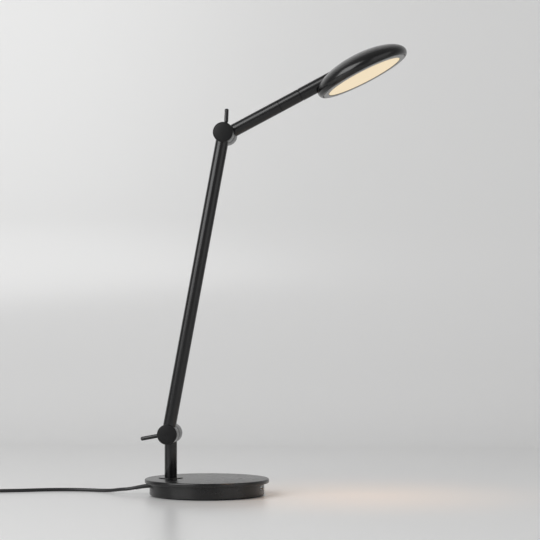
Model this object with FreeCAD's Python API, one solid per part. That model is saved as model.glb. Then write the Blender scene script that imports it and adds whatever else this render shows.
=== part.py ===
import FreeCAD, Part
import math
import os

# Jointed desk lamp: weighted round base, short post, two clamped knuckles, round disc head.
# Millimetres. Origin on the table under the centre of the base, +Z up.
# The arms fold in planes square to Y, and the head reaches towards +X.

# Base
top_disc_diameter = 180.0
top_disc_thickness = 6.0
top_edge_round = 2.0
top_underside_round = 1.4
disc_overhang = 7.0
drum_height = 17.0
drum_wall = 3.0
drum_edge_round = 1.2
drum_flange_width = 6.0
drum_flange_thickness = 2.0
stand_gap = 1.5
bottom_plate_thickness = 1.5
foot_pad_inset = 9.0
ballast_thickness = 9.0
ballast_rim_gap = 3.0
base_boss_diameter = 9.0
base_boss_inset = 17.0
base_boss_count = 4
base_boss_turn = 45.0
base_screw_diameter = 3.5
base_screw_head_diameter = 7.0
base_screw_length = 12.0

# Touch spot and its contact
touch_inset = 41.5
touch_diameter = 14.5
touch_flange = 1.5
touch_dish_depth = 0.7

# Power socket on the drum
socket_turn = -10.0
socket_height = 13.3
socket_frame_width = 16.0
socket_frame_height = 8.4
socket_frame_depth = 4.0
socket_shell_width = 13.1
socket_shell_height = 5.7
socket_shell_wall = 0.3
socket_shell_depth = 14.0
socket_tongue_width = 11.1
socket_tongue_thickness = 1.84
socket_tongue_length = 11.0
board_length = 50.0
board_width = 34.0
board_thickness = 1.6
board_inset = 8.0
driver_length = 20.0
driver_width = 20.0
driver_height = 5.0

# Post and its swivel
post_inset = 37.0
post_diameter = 18.0
tube_wall = 1.5
collar_diameter = 35.0
collar_thickness = 1.2
journal_diameter = 12.0
journal_bore = 7.0
foot_plug_length = 20.0
bush_wall = 2.0
bush_flange_diameter = 24.0
bush_flange_thickness = 1.5
stop_washer_diameter = 25.0
stop_washer_thickness = 1.2
stop_tongue_reach = 17.5
stop_pin_diameter = 3.0
swivel_limit = 90.0
swivel_nut_flats = 19.0
swivel_nut_height = 4.5

# Knuckles
lower_knuckle_height = 89.4
hub_diameter = 29.0
hub_wall = 3.5
front_hub_length = 20.5
rear_hub_length = 28.5
seam_width = 1.0
seam_inset = 1.0
rear_tube_setback = 13.5
front_tube_setback = 10.25
hub_web = 3.0
cap_thickness = 2.5
cap_rim = 1.3
cap_chamfer = 0.4
cap_pip_diameter = 2.4
cap_pip_depth = 0.4
hub_edge_chamfer = 0.4
stub_length = 18.0
stub_bore = 6.4
stub_bore_offset = 3.5
bolt_diameter = 10.0
bolt_bore = 5.0
bolt_head_diameter = 17.0
bolt_head_thickness = 4.0
bolt_end = 1.5
thrust_washer_diameter = 19.0
thrust_washer_thickness = 1.0
clamp_nut_diameter = 20.8
clamp_nut_thickness = 10.0
lever_diameter = 5.4
lever_screw_diameter = 4.0
lever_screw_length = 4.5
lever_tip_round = 1.9
lever_slot_clearance = 0.5
lever_swing_away = 30.0
lower_lever_swing_in = 25.0
upper_lever_swing_in = 12.0
lower_lever_reach = 42.0
lower_lever_turn = 191.5
upper_lever_reach = 38.0
upper_lever_turn = 91.8

# Arms
arm_diameter = 18.5
lower_arm_length = 440.0
lower_arm_turn = 79.4
upper_arm_turn = 27.4
upper_tube_end = 87.8
sleeve_end = 121.4
sleeve_plug_length = 15.0
joint_line = 0.45
head_gap = 0.5
neck_diameter = 19.0
spindle_diameter = 12.0
spindle_bore = 6.0
spindle_tail = 7.0
spindle_nut_length = 5.5
spindle_nut_diameter = 14.0
spindle_nut_flange_diameter = 14.8
spindle_nut_flange = 1.2

# Head, built flat with its lower face at 0 and then turned onto the upper arm
head_reach = 215.0
head_axis_height = 19.6
head_radius = 71.0
head_crown = 31.6
head_rim_height = 6.3
head_lip_radius = 67.2
head_lip_arc = 7.1
head_wall = 2.0
dome_spans = 3
mouth_radius = 65.6
mouth_depth = 2.0
shelf_width = 2.2
spindle_boss_radius = 8.2
spindle_boss_start = 56.0
spindle_boss_length = 22.0
bezel_inner_radius = 57.0
bezel_thickness = 2.0
diffuser_proud = 0.9
diffuser_thickness = 3.4
diffuser_flange = 3.0
spacer_height = 4.3
spacer_width = 2.0
led_board_thickness = 1.2
led_size = 3.0
led_height = 0.8
led_count = 24
led_circle_radius = 44.0
heat_plate_thickness = 2.0
head_boss_diameter = 8.0
head_boss_circle = 46.0
head_boss_count = 3
head_screw_diameter = 3.0
head_screw_head_diameter = 6.0
head_screw_length = 7.0

# Leads inside the tubes
lead_diameter = 2.8
lead_offset = 1.9
head_lead_offset = 1.4

# Power cord
cord_diameter = 5.0
cord_exit_height = 13.0
relief_length = 21.5
relief_start_diameter = 8.4
relief_end_diameter = 5.8
gland_flange_diameter = 10.0
gland_flange_thickness = 1.0
gland_inside_length = 9.0
coil_x = -372.0
coil_y = -28.0
coil_mean_radius = 27.5
coil_layers = 4
coil_turns_per_layer = 2.0
coil_pitch = 5.8
coil_rise = 5.8
plug_length = 36.0
plug_width = 26.0
plug_thickness = 13.7
plug_pin_diameter = 4.0
plug_pin_spacing = 18.6
plug_pin_length = 19.0

# Clearances
fit_gap = 0.05
loose_gap = 0.3
relief_cord_gap = 0.5
plug_cord_gap = 0.3
cutter_overrun = 20.0

# Heights and places that follow from the sizes above
drum_bottom = stand_gap
drum_top = drum_bottom + drum_height
disc_top = drum_top + top_disc_thickness
drum_radius = top_disc_diameter / 2 - disc_overhang
drum_inner = drum_radius - drum_wall
post_x = -(top_disc_diameter / 2 - post_inset)
touch_x = top_disc_diameter / 2 - touch_inset
plate_top = drum_bottom + bottom_plate_thickness
ballast_top = plate_top + ballast_thickness
collar_top = disc_top + collar_thickness
post_radius = post_diameter / 2
post_bore = post_radius - tube_wall
arm_radius = arm_diameter / 2
arm_bore = arm_radius - tube_wall
journal_radius = journal_diameter / 2
bush_radius = journal_radius + fit_gap + bush_wall
stop_washer_top = drum_top - bush_flange_thickness
stop_washer_bottom = stop_washer_top - stop_washer_thickness
swivel_nut_bottom = stop_washer_bottom - swivel_nut_height
post_cavity_radius = stop_tongue_reach + 2.5
board_top = socket_height - socket_shell_height / 2
hub_radius = hub_diameter / 2
cavity_radius = hub_radius - hub_wall
rear_hub_front = -rear_tube_setback
rear_hub_back = rear_hub_front + rear_hub_length
front_hub_back = rear_hub_front - seam_width
front_hub_front = front_hub_back - front_hub_length
front_tube_y = front_hub_back - front_tube_setback
front_lead_y = front_tube_y - (stub_bore / 2 - lead_diameter / 2 - loose_gap)
bolt_radius = bolt_diameter / 2
bolt_head_back = front_hub_back - hub_web
bolt_head_front = bolt_head_back - bolt_head_thickness
washer_front = rear_hub_front + hub_web
nut_front = washer_front + thrust_washer_thickness
nut_back = nut_front + clamp_nut_thickness
lever_y = nut_front + clamp_nut_thickness / 2
spindle_radius = spindle_diameter / 2
neck_start = sleeve_end + head_gap

X_AXIS = FreeCAD.Vector(1, 0, 0)
Y_AXIS = FreeCAD.Vector(0, 1, 0)
Z_AXIS = FreeCAD.Vector(0, 0, 1)


def vec(x, y, z):
    return FreeCAD.Vector(x, y, z)


def direction(turn):
    """Unit vector in the XZ plane, turned up from +X by so many degrees."""
    angle = math.radians(turn)
    return vec(math.cos(angle), 0, math.sin(angle))


def post_point(z):
    return vec(post_x, 0, z)


lower_knuckle = post_point(lower_knuckle_height)
upper_knuckle = lower_knuckle + direction(lower_arm_turn) * lower_arm_length


def cylinder(radius, start, axis, length):
    return Part.makeCylinder(radius, length, start, axis)


def upright(radius, x, y, z0, z1):
    return cylinder(radius, vec(x, y, z0), Z_AXIS, z1 - z0)


def across(radius, knuckle, y0, y1):
    """Cylinder along the knuckle's own axis, between two Y stations."""
    return cylinder(radius, vec(knuckle.x, y0, knuckle.z), Y_AXIS, y1 - y0)


def along(radius, knuckle, turn, y, s0, s1):
    """Cylinder along an arm, between two distances from the knuckle axis."""
    axis = direction(turn)
    start = vec(knuckle.x, y, knuckle.z) + axis * s0
    return cylinder(radius, start, axis, s1 - s0)


def edges_at(shape, test):
    return [edge for edge in shape.Edges if test(edge)]


def circle_edges(shape, radius, value, axis):
    """Whole round edges of a given radius whose centre lies at a given station on an axis."""
    found = []
    for edge in shape.Edges:
        if edge.Curve.TypeId != "Part::GeomCircle":
            continue
        centre = edge.Curve.Center.dot(axis)
        if abs(edge.Curve.Radius - radius) < 0.01 and abs(centre - value) < 0.01:
            found.append(edge)
    return found


def biarc(p0, t0, p1, t1):
    """Two arcs that join two points with given headings."""
    chord = p1 - p0
    total = t0 + t1
    a = 2 * (1 - t0.dot(t1))
    b = 2 * chord.dot(total)
    c = -chord.dot(chord)
    reach = (-b + math.sqrt(b * b - 4 * a * c)) / (2 * a) if abs(a) > 1e-9 else -c / b
    joint = (p0 + t0 * reach + p1 - t1 * reach) * 0.5
    return [arc_from(p0, t0, joint), arc_from(p1, t1 * -1, joint)]


def arc_from(start, heading, end):
    """Arc that leaves a point along a heading and ends at another point."""
    chord = end - start
    side = chord - heading * chord.dot(heading)
    if side.Length < 1e-6 * chord.Length:
        return Part.makeLine(start, end)
    side.normalize()
    radius = chord.dot(chord) / (2 * chord.dot(side))
    centre = start + side * radius
    middle = (start + end) * 0.5 - centre
    middle.normalize()
    return Part.Arc(start, centre + middle * abs(radius), end).toShape()


# ---- Base -------------------------------------------------------------------------------

def boss_places():
    radius = drum_inner - base_boss_inset
    places = []
    for i in range(base_boss_count):
        angle = math.radians(base_boss_turn + i * 360 / base_boss_count)
        places.append((radius * math.cos(angle), radius * math.sin(angle)))
    return places


def make_top_disc():
    disc = upright(top_disc_diameter / 2, 0, 0, drum_top, disc_top)
    radius = top_disc_diameter / 2
    disc = disc.makeFillet(top_edge_round, circle_edges(disc, radius, disc_top, Z_AXIS))
    disc = disc.makeFillet(top_underside_round, circle_edges(disc, radius, drum_top, Z_AXIS))
    for x, y in boss_places():
        disc = disc.fuse(upright(base_boss_diameter / 2, x, y, plate_top, drum_top))
    for x, y in boss_places():
        hole_top = drum_bottom + base_screw_length + 0.5
        disc = disc.cut(upright(base_screw_diameter / 2 + fit_gap, x, y, plate_top, hole_top))
    disc = disc.cut(upright(bush_radius, post_x, 0, drum_top, disc_top))
    disc = disc.cut(upright(touch_diameter / 2 + fit_gap, touch_x, 0, drum_top, disc_top))
    pin_x = post_x - stop_pin_circle()
    return disc.cut(upright(stop_pin_diameter / 2, pin_x, 0, drum_top, drum_top + 3))


def make_drum():
    outer = upright(drum_radius, 0, 0, drum_bottom, drum_top)
    outer = outer.makeFillet(drum_edge_round, circle_edges(outer, drum_radius, drum_bottom, Z_AXIS))
    inner = upright(drum_inner, 0, 0, drum_bottom, drum_top - drum_flange_thickness)
    mouth = upright(drum_inner - drum_flange_width, 0, 0, drum_bottom, drum_top)
    drum = outer.cut(inner).cut(mouth)
    drum = drum.cut(socket_block(socket_frame_width, socket_frame_height, socket_frame_depth, 1.0))
    start = vec(-drum_radius - 1, 0, cord_exit_height)
    return drum.cut(cylinder(gland_hole_radius(), start, X_AXIS, drum_wall + 5))


def make_bottom_plate():
    """Closing plate, with two pressed pillars that carry the circuit board."""
    plate = upright(drum_inner - loose_gap, 0, 0, drum_bottom, plate_top)
    for x, y in boss_places():
        plate = plate.cut(upright(base_screw_diameter / 2 + fit_gap, x, y, drum_bottom, plate_top))
    for side in (-1, 1):
        x = board_edge() - board_length / 2
        y = side * (board_width / 2 - 4)
        pillar = upright(3.0, x, y, drum_bottom, board_top - board_thickness)
        pillar.rotate(vec(0, 0, 0), Z_AXIS, socket_turn)
        plate = plate.fuse(pillar)
    return plate.removeSplitter()


def make_foot_pad():
    pad = upright(drum_inner - foot_pad_inset, 0, 0, 0, stand_gap)
    for x, y in boss_places():
        pad = pad.cut(upright(base_screw_head_diameter / 2 + loose_gap, x, y, 0, stand_gap))
    return pad


def make_base_screws():
    screws = []
    for x, y in boss_places():
        head = upright(base_screw_head_diameter / 2, x, y, drum_bottom - 1.2, drum_bottom)
        shank = upright(base_screw_diameter / 2, x, y, drum_bottom, drum_bottom + base_screw_length)
        screws.append(head.fuse(shank))
    return Part.makeCompound(screws)


def make_ballast():
    """Steel weight, open round the swivel, the circuit board, the bosses and the cord."""
    weight = upright(drum_inner - ballast_rim_gap, 0, 0, plate_top, ballast_top)
    weight = weight.cut(upright(post_cavity_radius, post_x, 0, plate_top, ballast_top))
    room = board_width / 2 + 2
    window = Part.makeBox(board_length + 2 * board_inset, 2 * room, ballast_thickness)
    window.translate(vec(board_edge() - board_length - 2, -room, plate_top))
    window.rotate(vec(0, 0, 0), Z_AXIS, socket_turn)
    weight = weight.cut(window)
    trench = Part.makeBox(drum_radius + post_x, 2 * gland_hole_radius() + 2, ballast_thickness)
    trench.translate(vec(-drum_radius, -gland_hole_radius() - 1, plate_top))
    weight = weight.cut(trench)
    for x, y in boss_places():
        weight = weight.cut(upright(base_boss_diameter / 2 + loose_gap, x, y, plate_top, ballast_top))
    return weight


def make_touch_cap():
    """Plug let into the disc from below, with a shallow dish in its top."""
    radius = touch_diameter / 2
    cap = upright(radius, touch_x, 0, drum_top, disc_top)
    cap = cap.fuse(upright(radius + touch_flange, touch_x, 0, drum_top - touch_flange, drum_top))
    dish_radius = (radius ** 2 + touch_dish_depth ** 2) / (2 * touch_dish_depth)
    ball = Part.makeSphere(dish_radius, vec(touch_x, 0, disc_top + dish_radius - touch_dish_depth))
    return cap.cut(ball)


# ---- Power socket and electronics -------------------------------------------------------

def turned_block(width, height, x0, x1, z, round_radius):
    """Block along the socket's own line, with rounded long edges."""
    block = Part.makeBox(x1 - x0, width, height)
    block.translate(vec(x0, -width / 2, z - height / 2))
    if round_radius > 0:
        long_edges = edges_at(block, lambda e: abs(e.Length - (x1 - x0)) < 1e-6
                              and abs(e.tangentAt(e.FirstParameter).x) > 0.99)
        block = block.makeFillet(round_radius, long_edges)
    block.rotate(vec(0, 0, 0), Z_AXIS, socket_turn)
    return block


def socket_block(width, height, depth, round_radius):
    return turned_block(width, height, drum_radius - depth, drum_radius + 2, socket_height, round_radius)


def socket_mouth_x():
    """Distance of the socket's flat mouth from the base centre."""
    half = socket_frame_width / 2
    return math.sqrt(drum_radius ** 2 - half ** 2)


def board_edge():
    return drum_inner - board_inset


def make_socket_frame():
    frame = socket_block(socket_frame_width - 2 * fit_gap, socket_frame_height - 2 * fit_gap,
                         socket_frame_depth, 1.0 - fit_gap)
    mouth = socket_mouth_x() + 0.2
    keep = turned_block(socket_frame_width, socket_frame_height, 0, mouth, socket_height, 0)
    hole = turned_block(socket_shell_width + 2 * fit_gap, socket_shell_height + 2 * fit_gap,
                        0, drum_radius + 3, socket_height, 0.7)
    return frame.common(keep).cut(hole)


def make_socket_shell():
    mouth = socket_mouth_x()
    back = mouth - socket_shell_depth
    shell = turned_block(socket_shell_width, socket_shell_height, back, mouth, socket_height, 0.6)
    hollow = turned_block(socket_shell_width - 2 * socket_shell_wall,
                          socket_shell_height - 2 * socket_shell_wall,
                          back + 1.0, mouth + 1, socket_height, 0.3)
    return shell.cut(hollow)


def make_socket_tongue():
    back = socket_mouth_x() - socket_shell_depth + 1.0
    return turned_block(socket_tongue_width, socket_tongue_thickness, back,
                        back + socket_tongue_length, socket_height + 0.3, 0)


def make_circuit_board():
    """Board with its covered power components on the inner end."""
    x1 = board_edge()
    x0 = x1 - board_length
    board = turned_block(board_width, board_thickness, x0, x1, board_top - board_thickness / 2, 0)
    driver = turned_block(driver_width, driver_height, x0 + 1, x0 + 1 + driver_length,
                          board_top + driver_height / 2, 0.8)
    return board.fuse(driver)


def make_touch_contact():
    """Sprung pin between the board and the underside of the touch cap."""
    return upright(1.6, touch_x, 0, board_top, drum_top - touch_flange)


# ---- Post and swivel --------------------------------------------------------------------

def stop_pin_circle():
    return stop_tongue_reach - stop_pin_diameter / 2 - 0.3


def make_collar():
    collar = upright(collar_diameter / 2, post_x, 0, disc_top, collar_top)
    collar = collar.makeChamfer(0.5, circle_edges(collar, collar_diameter / 2, collar_top, Z_AXIS))
    return collar.cut(upright(journal_radius + loose_gap, post_x, 0, disc_top, collar_top))


def make_swivel_bush():
    bush = upright(bush_radius, post_x, 0, drum_top, disc_top)
    flange = upright(bush_flange_diameter / 2, post_x, 0, stop_washer_top, drum_top)
    return bush.fuse(flange).cut(upright(journal_radius + fit_gap, post_x, 0, stop_washer_top, disc_top))


def make_stop_pin():
    x = post_x - stop_pin_circle()
    return upright(stop_pin_diameter / 2, x, 0, stop_washer_bottom - 1, drum_top + 3)


def make_post_foot():
    """Turned foot: plug inside the tube, journal through the disc, hollow for the lead."""
    plug = upright(post_bore - fit_gap, post_x, 0, collar_top, collar_top + foot_plug_length)
    journal = upright(journal_radius, post_x, 0, swivel_nut_bottom - 1.5, collar_top)
    bore = upright(journal_bore / 2, post_x, 0, swivel_nut_bottom - 2,
                   collar_top + foot_plug_length)
    return plug.fuse(journal).cut(bore)


def make_stop_washer():
    """Washer under the disc whose broad tongue meets the stop pin at each end of the swivel."""
    pin_turn = 2 * math.degrees(math.asin(stop_pin_diameter / 2 / stop_pin_circle()))
    tongue_turn = 360 - 2 * swivel_limit - pin_turn - 2.0
    washer = upright(stop_washer_diameter / 2, post_x, 0, stop_washer_bottom, stop_washer_top)
    tongue = Part.makeCylinder(stop_tongue_reach, stop_washer_thickness,
                               vec(post_x, 0, stop_washer_bottom), Z_AXIS, tongue_turn)
    tongue.rotate(vec(post_x, 0, 0), Z_AXIS, -tongue_turn / 2)
    washer = washer.fuse(tongue).removeSplitter()
    return washer.cut(upright(journal_radius + fit_gap, post_x, 0, stop_washer_bottom, stop_washer_top))


def make_swivel_nut():
    nut = hexagon(swivel_nut_flats, swivel_nut_height, post_point(swivel_nut_bottom))
    return nut.cut(upright(journal_radius + fit_gap, post_x, 0, swivel_nut_bottom, stop_washer_bottom))


def hexagon(flats, height, centre):
    radius = flats / math.sqrt(3)
    points = []
    for i in range(7):
        angle = math.radians(60 * i)
        points.append(centre + vec(radius * math.cos(angle), radius * math.sin(angle), 0))
    return Part.Face(Part.makePolygon(points)).extrude(vec(0, 0, height))


def make_post_tube():
    tube = upright(post_radius, post_x, 0, collar_top, lower_knuckle_height)
    tube = tube.cut(upright(post_bore, post_x, 0, collar_top, lower_knuckle_height))
    hub = across(hub_radius, lower_knuckle, rear_hub_front - cutter_overrun, rear_hub_back + cutter_overrun)
    return tube.cut(hub)


# ---- Knuckles ---------------------------------------------------------------------------

def make_hub(knuckle, y0, y1, web_at_back, tube_turn, tube_y, bore_y, tube_bore):
    """Round hub, hollow from its open end, with a stub that carries the tube."""
    hub = across(hub_radius, knuckle, y0, y1)
    ends = circle_edges(hub, hub_radius, y0, Y_AXIS) + circle_edges(hub, hub_radius, y1, Y_AXIS)
    hub = hub.makeChamfer(hub_edge_chamfer, ends)
    stub_end = hub_radius + stub_length
    hub = hub.fuse(along(tube_bore - fit_gap, knuckle, tube_turn, tube_y, cavity_radius + 1, stub_end))
    if web_at_back:
        cavity = across(cavity_radius, knuckle, y0 + cap_thickness, y1 - hub_web)
        seat = across(hub_radius - cap_rim, knuckle, y0, y0 + cap_thickness)
        shaft = across(bolt_radius + fit_gap, knuckle, y1 - hub_web, y1)
    else:
        cavity = across(cavity_radius, knuckle, y0 + hub_web, y1 - cap_thickness)
        seat = across(hub_radius - cap_rim, knuckle, y1 - cap_thickness, y1)
        shaft = across(bolt_radius + fit_gap, knuckle, y0, y0 + hub_web)
    wire_way = along(stub_bore / 2, knuckle, tube_turn, bore_y, cavity_radius - 2, stub_end)
    return hub.cut(cavity).cut(seat).cut(shaft).cut(wire_way)


def make_rear_hub(knuckle, tube_turn, tube_bore, first_turn, last_turn):
    hub = make_hub(knuckle, rear_hub_front, rear_hub_back, False, tube_turn, 0, stub_bore_offset, tube_bore)
    return hub.cut(lever_slot(knuckle, first_turn, last_turn))


def make_lower_rear_hub():
    return make_rear_hub(lower_knuckle, 270, post_bore, lower_lever_turn - lever_swing_away,
                         lower_lever_turn + lower_lever_swing_in)


def make_upper_rear_hub():
    return make_rear_hub(upper_knuckle, upper_arm_turn, arm_bore, upper_lever_turn - upper_lever_swing_in,
                         upper_lever_turn + lever_swing_away)


def make_front_hub(knuckle, tube_turn, tube_bore):
    return make_hub(knuckle, front_hub_front, front_hub_back, True, tube_turn, front_tube_y, front_tube_y,
                    tube_bore)


def lever_slot(knuckle, first_turn, last_turn):
    """Window round part of the rear hub, as long as the lever's swing, with round ends."""
    half = lever_diameter / 2 + lever_slot_clearance
    ring = Part.makeCylinder(hub_radius + 2, 2 * half, vec(knuckle.x, lever_y - half, knuckle.z),
                             Y_AXIS, last_turn - first_turn)
    middle = ring.CenterOfMass - vec(knuckle.x, lever_y, knuckle.z)
    middle_turn = math.degrees(math.atan2(middle.z, middle.x))
    ring.rotate(knuckle, Y_AXIS, middle_turn - (first_turn + last_turn) / 2)
    ring = ring.cut(across(cavity_radius - 1, knuckle, lever_y - half, lever_y + half))
    for turn in (first_turn, last_turn):
        ring = ring.fuse(along(half, knuckle, turn, lever_y, cavity_radius - 1, hub_radius + 2))
    return ring


def make_cap(knuckle, y0, y1, outer_y):
    radius = hub_radius - cap_rim - fit_gap
    cap = across(radius, knuckle, y0, y1)
    cap = cap.makeChamfer(cap_chamfer, circle_edges(cap, radius, outer_y, Y_AXIS))
    if outer_y == y0:
        return cap.cut(across(cap_pip_diameter / 2, knuckle, y0, y0 + cap_pip_depth))
    return cap.cut(across(cap_pip_diameter / 2, knuckle, y1 - cap_pip_depth, y1))


def make_front_cap(knuckle):
    return make_cap(knuckle, front_hub_front, front_hub_front + cap_thickness, front_hub_front)


def make_rear_cap(knuckle):
    return make_cap(knuckle, rear_hub_back - cap_thickness, rear_hub_back, rear_hub_back)


def make_friction_disc(knuckle):
    disc = across(hub_radius - seam_inset, knuckle, front_hub_back, rear_hub_front)
    return disc.cut(across(bolt_radius + fit_gap, knuckle, front_hub_back, rear_hub_front))


def make_clamp_bolt(knuckle):
    """Hollow bolt: its head seats in the front hub and the lead passes through it."""
    head = across(bolt_head_diameter / 2, knuckle, bolt_head_front, bolt_head_back)
    shaft = across(bolt_radius, knuckle, bolt_head_back, nut_back + bolt_end)
    return head.fuse(shaft).cut(across(bolt_bore / 2, knuckle, bolt_head_front, nut_back + bolt_end))


def make_thrust_washer(knuckle):
    washer = across(thrust_washer_diameter / 2, knuckle, washer_front, nut_front)
    return washer.cut(across(bolt_radius + fit_gap, knuckle, washer_front, nut_front))


def make_clamp_nut(knuckle, lever_turn):
    nut = across(clamp_nut_diameter / 2, knuckle, nut_front, nut_back)
    nut = nut.cut(across(bolt_radius + fit_gap, knuckle, nut_front, nut_back))
    socket_radius = lever_screw_diameter / 2 + fit_gap
    socket_start = clamp_nut_diameter / 2 - lever_screw_length
    return nut.cut(along(socket_radius, knuckle, lever_turn, lever_y, socket_start, hub_radius))


def make_lever(knuckle, lever_turn, reach):
    """Round rod with a domed tip and a screwed tail in the clamp nut."""
    radius = lever_diameter / 2
    shoulder = clamp_nut_diameter / 2
    tip = along(radius, knuckle, lever_turn, lever_y, shoulder, reach)
    far = vec(knuckle.x, lever_y, knuckle.z) + direction(lever_turn) * reach
    rim = edges_at(tip, lambda e: e.Curve.TypeId == "Part::GeomCircle"
                   and (e.Curve.Center - far).Length < 0.01)
    tip = tip.makeFillet(lever_tip_round, rim)
    tail = along(lever_screw_diameter / 2, knuckle, lever_turn, lever_y,
                 shoulder - lever_screw_length + 0.3, shoulder + 0.1)
    return tip.fuse(tail)


# ---- Arms -------------------------------------------------------------------------------

def make_lower_arm_tube():
    start = vec(lower_knuckle.x, front_tube_y, lower_knuckle.z)
    axis = direction(lower_arm_turn)
    tube = cylinder(arm_radius, start, axis, lower_arm_length)
    tube = tube.cut(cylinder(arm_bore, start, axis, lower_arm_length))
    for knuckle in (lower_knuckle, upper_knuckle):
        hub = across(hub_radius, knuckle, front_hub_front - cutter_overrun, front_hub_back + cutter_overrun)
        tube = tube.cut(hub)
    return tube


def make_upper_arm_tube():
    tube = along(arm_radius, upper_knuckle, upper_arm_turn, 0, 0, upper_tube_end)
    tube = tube.cut(along(arm_bore, upper_knuckle, upper_arm_turn, 0, 0, upper_tube_end))
    hub = across(hub_radius, upper_knuckle, rear_hub_front - cutter_overrun, rear_hub_back + cutter_overrun)
    return tube.cut(hub)


def upper_along(radius, s0, s1):
    return along(radius, upper_knuckle, upper_arm_turn, 0, s0, s1)


def make_swivel_sleeve():
    """Bearing sleeve plugged into the arm tube, eased at both ends so that its joint lines show."""
    sleeve = upper_along(arm_radius, upper_tube_end, sleeve_end)
    rims = edges_at(sleeve, lambda e: e.Curve.TypeId == "Part::GeomCircle")
    sleeve = sleeve.makeChamfer(joint_line, rims)
    plug_start = upper_tube_end - sleeve_plug_length
    sleeve = sleeve.fuse(upper_along(arm_bore - fit_gap, plug_start, upper_tube_end))
    return sleeve.cut(upper_along(spindle_radius + fit_gap, plug_start, sleeve_end))


def spindle_nut_end():
    return upper_tube_end - sleeve_plug_length


def make_spindle():
    """Hollow spindle that carries the head and turns in the sleeve."""
    start = spindle_nut_end() - spindle_tail
    end = head_reach - spindle_boss_start + spindle_boss_length - 3
    return upper_along(spindle_radius, start, end).cut(upper_along(spindle_bore / 2, start, end))


def make_spindle_nut():
    """Flanged nut that holds the spindle in the sleeve."""
    end = spindle_nut_end()
    start = end - spindle_nut_length
    nut = upper_along(spindle_nut_diameter / 2, start, end)
    nut = nut.fuse(upper_along(spindle_nut_flange_diameter / 2, end - spindle_nut_flange, end))
    return nut.cut(upper_along(spindle_radius + fit_gap, start, end))


def make_neck():
    """Spacer tube round the spindle, its far end shaped to the side of the head."""
    neck = upper_along(neck_diameter / 2, neck_start, head_reach)
    first = upper_knuckle + direction(upper_arm_turn) * neck_start
    rim = edges_at(neck, lambda e: e.Curve.TypeId == "Part::GeomCircle"
                   and (e.Curve.Center - first).Length < 0.01)
    neck = neck.makeChamfer(joint_line, rim)
    neck = neck.cut(upper_along(spindle_radius + fit_gap, neck_start, head_reach))
    return neck.cut(on_arm(head_outside()))


# ---- Head -------------------------------------------------------------------------------

def on_arm(shape):
    """Turns a shape built flat at the origin onto the upper arm."""
    turned = shape.copy()
    turned.translate(vec(head_reach, 0, -head_axis_height))
    turned.rotate(vec(0, 0, 0), Y_AXIS, -upper_arm_turn)
    turned.translate(upper_knuckle)
    return turned


def ellipse_arcs(half_width, half_height, centre_height, from_radius):
    """Quarter of an upright ellipse as tangent arcs, from a given radius up to the axis."""
    first = math.acos(from_radius / half_width)
    step = (math.pi / 2 - first) / dome_spans
    edges = []
    for i in range(dome_spans):
        ends = []
        for angle in (first + i * step, first + (i + 1) * step):
            point = vec(half_width * math.cos(angle), 0, centre_height + half_height * math.sin(angle))
            heading = vec(-half_width * math.sin(angle), 0, half_height * math.cos(angle))
            ends += [point, heading.normalize()]
        edges += biarc(*ends)
    return edges


def spun(edges):
    wire = Part.Wire(Part.__sortEdges__(edges))
    return Part.Face(wire).revolve(vec(0, 0, 0), Z_AXIS, 360)


def line(x0, z0, x1, z1):
    return Part.makeLine(vec(x0, 0, z0), vec(x1, 0, z1))


def head_outside():
    """Domed disc: half an ellipse above the rim, rolled under to a flat face."""
    dome = ellipse_arcs(head_radius, head_crown - head_rim_height, head_rim_height, head_radius)
    centre_x = head_radius - head_lip_arc
    drop = math.asin(head_rim_height / head_lip_arc) / 2
    middle = vec(centre_x, 0, head_rim_height) + direction(-math.degrees(drop)) * head_lip_arc
    lip_x = centre_x + math.sqrt(head_lip_arc ** 2 - head_rim_height ** 2)
    roll = Part.Arc(vec(head_radius, 0, head_rim_height), middle, vec(lip_x, 0, 0)).toShape()
    return spun(dome + [roll, line(lip_x, 0, 0, 0), line(0, 0, 0, head_crown)])


def head_inside():
    """Room inside the dome, above the shelf that the bezel seats on."""
    wall_x = mouth_radius - shelf_width
    half_width = head_radius - head_wall
    half_height = head_crown - head_rim_height - head_wall
    dome = ellipse_arcs(half_width, half_height, head_rim_height, wall_x)
    arc_start = head_rim_height + half_height * math.sqrt(1 - (wall_x / half_width) ** 2)
    top = head_rim_height + half_height
    return spun(dome + [line(wall_x, arc_start, wall_x, 0), line(wall_x, 0, 0, 0), line(0, 0, 0, top)])


def head_boss_places():
    places = []
    for i in range(head_boss_count):
        angle = 2 * math.pi * i / head_boss_count
        places.append((head_boss_circle * math.cos(angle), head_boss_circle * math.sin(angle)))
    return places


diffuser_top = diffuser_thickness
spacer_top = diffuser_top + spacer_height
led_board_top = spacer_top + led_board_thickness
heat_plate_top = led_board_top + heat_plate_thickness
screw_start = led_board_top - led_board_thickness


def make_head_shell():
    """Thin domed shell with a boss for the spindle and three screw bosses."""
    boss = cylinder(spindle_boss_radius, vec(-head_radius, 0, head_axis_height), vec(1, 0, 0),
                    head_radius - spindle_boss_start + spindle_boss_length)
    room = head_inside().cut(boss)
    for x, y in head_boss_places():
        room = room.cut(upright(head_boss_diameter / 2, x, y, heat_plate_top, head_crown))
    shell = head_outside().cut(room)
    shell = shell.cut(upright(mouth_radius, 0, 0, 0, mouth_depth))
    for x, y in head_boss_places():
        depth = screw_start + head_screw_length + 0.5
        shell = shell.cut(upright(head_screw_diameter / 2 + fit_gap, x, y, heat_plate_top, depth))
    way = cylinder(spindle_radius + fit_gap, vec(-head_radius - 1, 0, head_axis_height), vec(1, 0, 0),
                   head_radius + 1 - spindle_boss_start + spindle_boss_length)
    return on_arm(shell.cut(way))


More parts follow.
